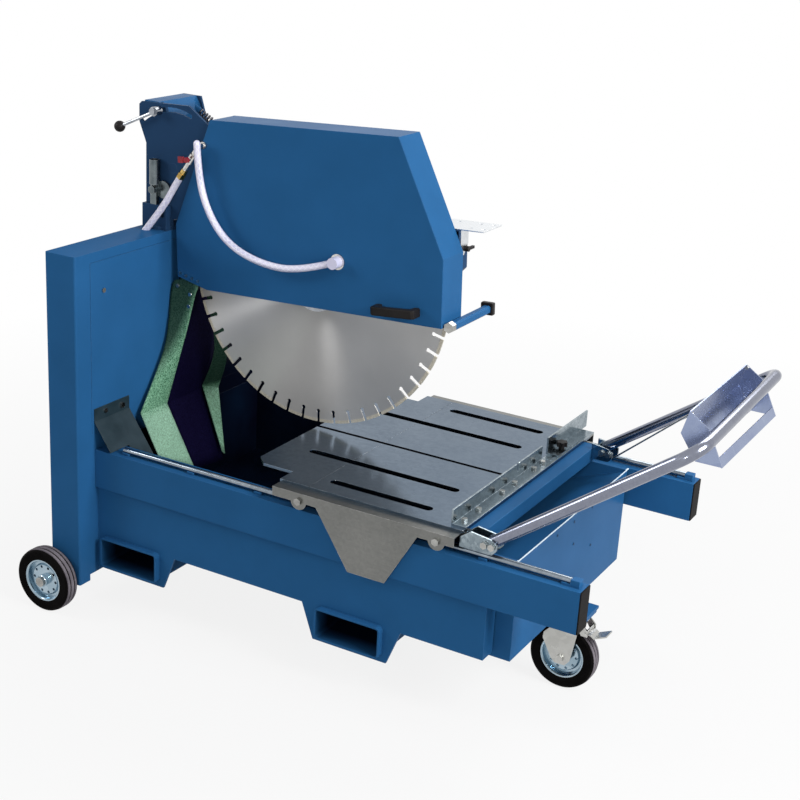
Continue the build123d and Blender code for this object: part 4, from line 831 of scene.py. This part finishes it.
def hose_plastic():
    """Milky plastic over a white weave, with clearer lines along the tube."""
    material, tree, bsdf = new_material("milky_hose", Roughness=0.22, Coat_Weight=0.4, Coat_Roughness=0.1,
                                        Subsurface_Weight=0.25, Subsurface_Radius=(0.004, 0.004, 0.005))
    around, along, _ = parts_of(tree, make(tree, "UVMap", uv_map="hose").outputs[0])
    weave = hose_weave(tree, around, along)
    milky = mixed(tree, noise(tree, object_place(tree), 30.0), milky_dark, milky_light)
    lengthwise = make(tree, "CombineXYZ", {0: product(tree, around, 9.0), 1: product(tree, along, 7.0)})
    clear = ramp(tree, noise(tree, lengthwise.outputs[0], 1.0), 0.50, 0.66, 0.0, 0.55)
    tone = mixed(tree, product(tree, weave, 0.5), mixed(tree, clear, milky, clear_tone), thread_tone)
    feed(tree, bsdf, Base_Color=tone, Normal=bump(tree, weave, 0.0003, 0.25))
    return material


hose_finish = hose_plastic()
tell(hose_finish)

# %% [markdown]
# ## Tubes along a line
# A hose is a smooth line with a round section. A curve with a round bevel would do for a plain hose, but a
# tube of quads along the curve also carries coordinates round and along it, which the woven layer needs. The
# same tube makes the spring's wire and the screw heads.

# %% Tubes
def smooth_line(name, points, dense=24):
    """Points along a NURBS curve whose control points are given."""
    curve = bpy.data.curves.new(name + "_line", "CURVE")
    curve.dimensions = "3D"
    curve.resolution_u = dense
    spline = curve.splines.new("NURBS")
    spline.points.add(len(points) - 1)
    for knot, place in zip(spline.points, points):
        knot.co = (*place, 1.0)
    spline.order_u = 3
    spline.use_endpoint_u = True
    carrier = link(bpy.data.objects.new(name + "_line", curve))
    bpy.context.view_layer.update()
    mesh = bpy.data.meshes.new_from_object(carrier.evaluated_get(bpy.context.evaluated_depsgraph_get()))
    line = [v.co.copy() for v in mesh.vertices]
    bpy.data.objects.remove(carrier)
    bpy.data.meshes.remove(mesh)
    return line


def rings_along(line, radii, sides):
    """A ring of points at each point of a line, turned as little as possible from ring to ring."""
    angles = [2 * math.pi * k / sides for k in range(sides)]
    rings = []
    across = None
    for i, (centre, radius) in enumerate(zip(line, radii)):
        ahead = (line[min(i + 1, len(line) - 1)] - line[max(i - 1, 0)]).normalized()
        if across is None:
            across = ahead.orthogonal().normalized()
        across = (across - ahead * across.dot(ahead)).normalized()
        other = ahead.cross(across)
        rings.append([centre + (across * math.cos(a) + other * math.sin(a)) * radius for a in angles])
    return rings


def dome_on(line, radius, steps=4, widest=85):
    """Points and radii that close the start of a tube with a round end."""
    ahead = (line[1] - line[0]).normalized()
    angles = [math.radians(widest - widest * k / steps) for k in range(steps)]
    points = [line[0] - ahead * radius * math.sin(a) for a in angles]
    return points, [radius * math.cos(a) for a in angles]


def travel_along(line):
    """The distance along a line at each of its points."""
    travel = [0.0]
    for a, b in zip(line, line[1:]):
        travel.append(travel[-1] + (b - a).length)
    return travel


def tube_faces(count, sides):
    """Quads between the rings of a tube, and one face on each end."""
    faces = []
    for i in range(count - 1):
        for k in range(sides):
            here, there = i * sides, (i + 1) * sides
            after = (k + 1) % sides
            faces.append((here + k, here + after, there + after, there + k))
    last = (count - 1) * sides
    return faces + [tuple(reversed(range(sides))), tuple(range(last, last + sides))]


def wrap_coordinates(mesh, travel, sides):
    """Coordinates round the tube and along it. The last face of a ring ends at 1 instead of 0."""
    layer = mesh.uv_layers.new(name="hose")
    for face in mesh.polygons:
        is_quad = len(face.vertices) == 4
        face.use_smooth = is_quad
        for loop in face.loop_indices:
            ring, side = divmod(mesh.loops[loop].vertex_index, sides)
            wraps = is_quad and side == 0 and face.vertices[0] % sides == sides - 1
            layer.data[loop].uv = ((sides if wraps else side) / sides, travel[ring])


def tube(name, line, radius, sides=20, domed=False):
    """A closed tube along a line, and its length."""
    radii = [radius] * len(line)
    if domed:
        tip, tip_radii = dome_on(line, radius)
        line, radii = tip + line, tip_radii + radii
    corners = [p for ring in rings_along(line, radii, sides) for p in ring]
    mesh = bpy.data.meshes.new(name)
    mesh.from_pydata(corners, [], tube_faces(len(line), sides))
    travel = travel_along(line)
    wrap_coordinates(mesh, travel, sides)
    mesh.update()
    return link(bpy.data.objects.new(name, mesh)), travel[-1]


print("tube helpers are ready")

# %% [markdown]
# ## The water hoses
# One hose brings water from the post to the valve, and the other takes it on to the guard. A simulation would
# have to guess how stiff they are, so a few points give their lines.

# %% Hoses
hose_radius = 0.0105
supply_points = [in_row(-69, -143, 1101), in_row(-4, -131, 1187), in_row(27.7, -122, 1249.4), valve_foot]
feed_points = [in_row(120.2, -135, 1395.4), in_row(128.3, -137, 1296.7), in_row(171, -139, 1188.8),
               in_row(245.1, -139, 1112.6), in_row(357.2, -137, 1076.4), in_row(482.3, -135, 1076.9),
               in_row(581.5, -118, 1114.2)]


def add_hose(name, points, node, domed=False):
    line = smooth_line(name, points)
    hose, length = tube(name, line, hose_radius, domed=domed)
    paint(hose, hose_finish)
    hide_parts(node)
    print(name, "is", round(length, 3), "m long")
    return hose


supply = add_hose("water_supply_hose", supply_points, "supply_hose")
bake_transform(supply)
feeder = add_hose("blade_feed_hose", feed_points, "feed_hose", domed=True)
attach(feeder, "head")

# %% [markdown]
# ## Curtain rubber
# Three strips of heavy rubber sheet catch the spray: mottled green at the sides and navy between them. The
# mottling is noise between two tones. Above a line the green strips get painted shade and a lower roughness,
# for they are in shade and wet there, and below the knee, which faces up, they get painted light. Both are
# masks on the place, which need no unwrapping.

# %% Material: curtain rubber
knee_height = 0.57
curtain_shade_tone = (0.008, 0.026, 0.020)
# The dark colour of the painted shade on the green strips.
curtain_lit_tone = (0.50, 0.68, 0.58)
# The pale colour painted as light on the strips below the knee.


def curtain(name, dark, light, speck, painted_shade=0.0, shade_from=1.0, shade_over=0.02, lean=0.0, painted_light=0.0,
            refraction=1.2):
    """Rubber sheet with fine specks, with painted shade and a wet shine above a leaning line, and painted light
    below the knee.
    """
    material, tree, bsdf = new_material(name, IOR=refraction)
    place = object_place(tree)
    x, _, z = parts_of(tree, place)
    specks = ramp(tree, noise(tree, place, speck, detail=4.0, rough=0.8), 0.41, 0.60)
    broad = ramp(tree, noise(tree, place, 7.0), 0.3, 0.7)
    share = product(tree, specks, ramp(tree, broad, 0.0, 1.0, 0.7, 1.0))
    # Painted light: the part below the knee, which faces up, is lighter.
    lit_share = product(tree, ramp(tree, z, knee_height + 0.01, knee_height - 0.02), painted_light)
    tone = mixed(tree, lit_share, mixed(tree, share, dark, light), curtain_lit_tone)
    # Painted shade above a leaning line, with a lower roughness where the strips are wet.
    height = maths(tree, "MULTIPLY_ADD", x, -lean, z)
    shaded = product(tree, ramp(tree, height, shade_from, shade_from + shade_over), painted_shade)
    edge = placed(tree, rubbed_edges, Width=0.003, Amount=0.8, Patches=70.0)["Mask"]
    tone = mixed(tree, edge, mixed(tree, shaded, tone, curtain_shade_tone), light)
    gloss = ramp(tree, shaded, 0.0, 1.0, ramp(tree, specks, 0.0, 1.0, 0.42, 0.55), 0.25)
    feed(tree, bsdf, Base_Color=tone, Roughness=gloss, Normal=bump(tree, specks, 0.0006, 0.4))
    return material


green_dark, green_light = (0.022, 0.105, 0.050), (0.26, 0.50, 0.34)
near_green = curtain("near_green_sheet", green_dark, green_light, speck=240.0, painted_shade=0.88, shade_from=3.17,
                     shade_over=0.10, lean=3.14, painted_light=0.22)
far_green = curtain("far_green_sheet", green_dark, green_light, speck=200.0, painted_shade=0.85, shade_from=0.566,
                    painted_light=0.12)
navy_curtain = curtain("navy_sheet", (0.002, 0.0014, 0.009), (0.006, 0.005, 0.026), speck=260.0,
                       refraction=1.04)
tell(near_green, far_green, navy_curtain)

# %% [markdown]
# ## The splash curtains
# The strips hang from the guard's back, bow out from it to a sharp knee, and fold back into the tub. Cloth
# simulation would soften the knee, so each strip is a fine grid through listed lines across it, and a
# thickness is added after.

# %% Curtain strips
curtain_thickness = 0.004
grid_columns = 10
grid_steps = 8
near_lines = [((100, -97, 978), (34, -97, 995)), ((100, -97, 946), (34, -97, 963)),
              ((90, -99, 915), (4, -101, 935)), ((64, -116, 770), (12, -143, 758)),
              ((25, -146, 569), (25, -274, 573)), ((100, -99, 351), (100, -280, 451))]
far_lines = [((34, 17, 995), (100, 17, 978)), ((34, 17, 963), (100, 17, 946)),
             ((74, 30, 730), (104, 60, 718)), ((25, 34, 578), (25, 119, 549)),
             ((100, 44, 365), (100, 56, 353))]
middle_lines = [((25.7, 12, 1000.9), (25.7, -87, 1000.9)), ((27.2, 12, 973), (27.2, -87, 973)),
                ((36, 86, 725), (36, -108, 725)), ((21, 40, 567), (21, -140, 567)),
                ((95, 62, 330), (95, -93, 345))]


def smooth_through(points, steps):
    """Points on a smooth curve through the given ones. Each span is a cubic that keeps the end directions."""
    line = []
    for i, (a, b) in enumerate(zip(points, points[1:])):
        leave = (b - points[max(i - 1, 0)]) / 2
        arrive = (points[min(i + 2, len(points) - 1)] - a) / 2
        for step in range(steps):
            s = step / steps
            line.append(a * (1 + 2 * s) * (1 - s) ** 2 + leave * s * (1 - s) ** 2
                        + b * s * s * (3 - 2 * s) + arrive * s * s * (s - 1))
    return line + [points[-1]]


def curtain_edge(places):
    """One side edge of a strip: smooth down to the knee, the last point but one, and straight below it."""
    points = [in_row(*place) for place in places]
    straight = [points[-2].lerp(points[-1], k / grid_steps) for k in range(1, grid_steps + 1)]
    return smooth_through(points[:-1], grid_steps) + straight


def curtain_grid(lines):
    """Rows of points across the strip, from top to bottom."""
    left, right = (curtain_edge(side) for side in zip(*lines))
    return [[a.lerp(b, k / grid_columns) for k in range(grid_columns + 1)] for a, b in zip(left, right)]


def strip_mesh(name, rows):
    """A smooth grid with a sharp line at the knee."""
    wide = len(rows[0])
    faces = [(i * wide + k, i * wide + k + 1, (i + 1) * wide + k + 1, (i + 1) * wide + k)
             for i in range(len(rows) - 1) for k in range(wide - 1)]
    mesh = bpy.data.meshes.new(name)
    mesh.from_pydata([p for row in rows for p in row], [], faces)
    for face in mesh.polygons:
        face.use_smooth = True
    knee_start = (len(rows) - 1 - grid_steps) * wide
    knee_corners = range(knee_start, knee_start + wide)
    for edge in mesh.edges:
        edge.use_edge_sharp = all(corner in knee_corners for corner in edge.vertices)
    return mesh


def curtain_strip(name, lines, material, node):
    rows = curtain_grid(lines)
    mesh = strip_mesh(name, rows)
    strip = link(bpy.data.objects.new(name, mesh))
    paint(strip, material)
    solid = strip.modifiers.new("thickness", "SOLIDIFY")
    solid.thickness = curtain_thickness
    solid.offset = -1.0
    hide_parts(node)
    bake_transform(strip)


curtain_strip("near_curtain", near_lines, near_green, "side_curtains")
curtain_strip("far_curtain", far_lines, far_green, "side_curtains")
curtain_strip("middle_curtain", middle_lines, navy_curtain, "back_curtain")

# %% [markdown]
# ## The buffer spring
# A small coil spring between the tower's roof and the guard softens the head's return. A screw modifier could
# turn it, but a helix drawn point by point can be covered with the same tube as the hoses.

# %% Buffer spring
spring_start = in_row(-26, 80, 1445)
spring_end = in_row(20, 80, 1421)
spring_turns = 5
spring_radius = 0.0085
wire_radius = 0.0024


def coil_line(start, end, radius, turns, steps=28):
    """Points on a helix of even pitch."""
    along = end - start
    side = along.orthogonal().normalized()
    other = along.normalized().cross(side)
    line = []
    for i in range(turns * steps + 1):
        share = i / (turns * steps)
        angle = 2 * math.pi * turns * share
        line.append(start + along * share + (side * math.cos(angle) + other * math.sin(angle)) * radius)
    return line


spring_line = coil_line(spring_start, spring_end, spring_radius, spring_turns)
spring, wire_length = tube("buffer_coil", spring_line, wire_radius, sides=12)
paint(spring, spring_steel)
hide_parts("buffer_spring")
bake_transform(spring)
print("the spring has", round(wire_length, 3), "m of wire")

# %% [markdown]
# ## Small screws
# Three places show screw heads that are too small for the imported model: the tub's front wall, the corners of
# the hand guard and the top of the near curtain. Each head is a short tube, so the hose's function serves.

# %% Small screws
tub_end = 1361
tub_places = [(tub_end, y, z) for y, z in ((-15, 483), (-133, 485), (-4, 410), (135, 353), (117, 482))]
corner_places = [(1749, 122, 990), (1832, 122, 880), (1749, -320, 990)]
strip_places = [(27, -97.5, 941), (30, -99, 905), (74, -98, 922), (72, -101, 884)]
to_operator, to_near_side = Vector((1, 0, 0)), Vector((0, -1, 0))


def screw_heads(name, places, way, radius, tall, material, body):
    """Low round heads that stand on a surface and point along a direction."""
    for number, place in enumerate(places, 1):
        foot = in_row(*place)
        head, _ = tube(f"{name}_{number}", [foot, foot + way * tall], radius, sides=16)
        paint(head, material)
        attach(head, body)
    print(len(places), name, "heads on", body)


# The tub's screws take the enamel's darker copy, which is painted shade.
screw_heads("tub_screw", tub_places, to_operator, radius=0.004, tall=0.0015, material=blue_shaded_tower,
            body="frame")
screw_heads("hand_guard_screw", corner_places, to_near_side, radius=0.005, tall=0.004, material=bolt_steel,
            body="table")
screw_heads("curtain_screw", strip_places, to_near_side, radius=0.006, tall=0.004, material=bolt_steel,
            body="head")
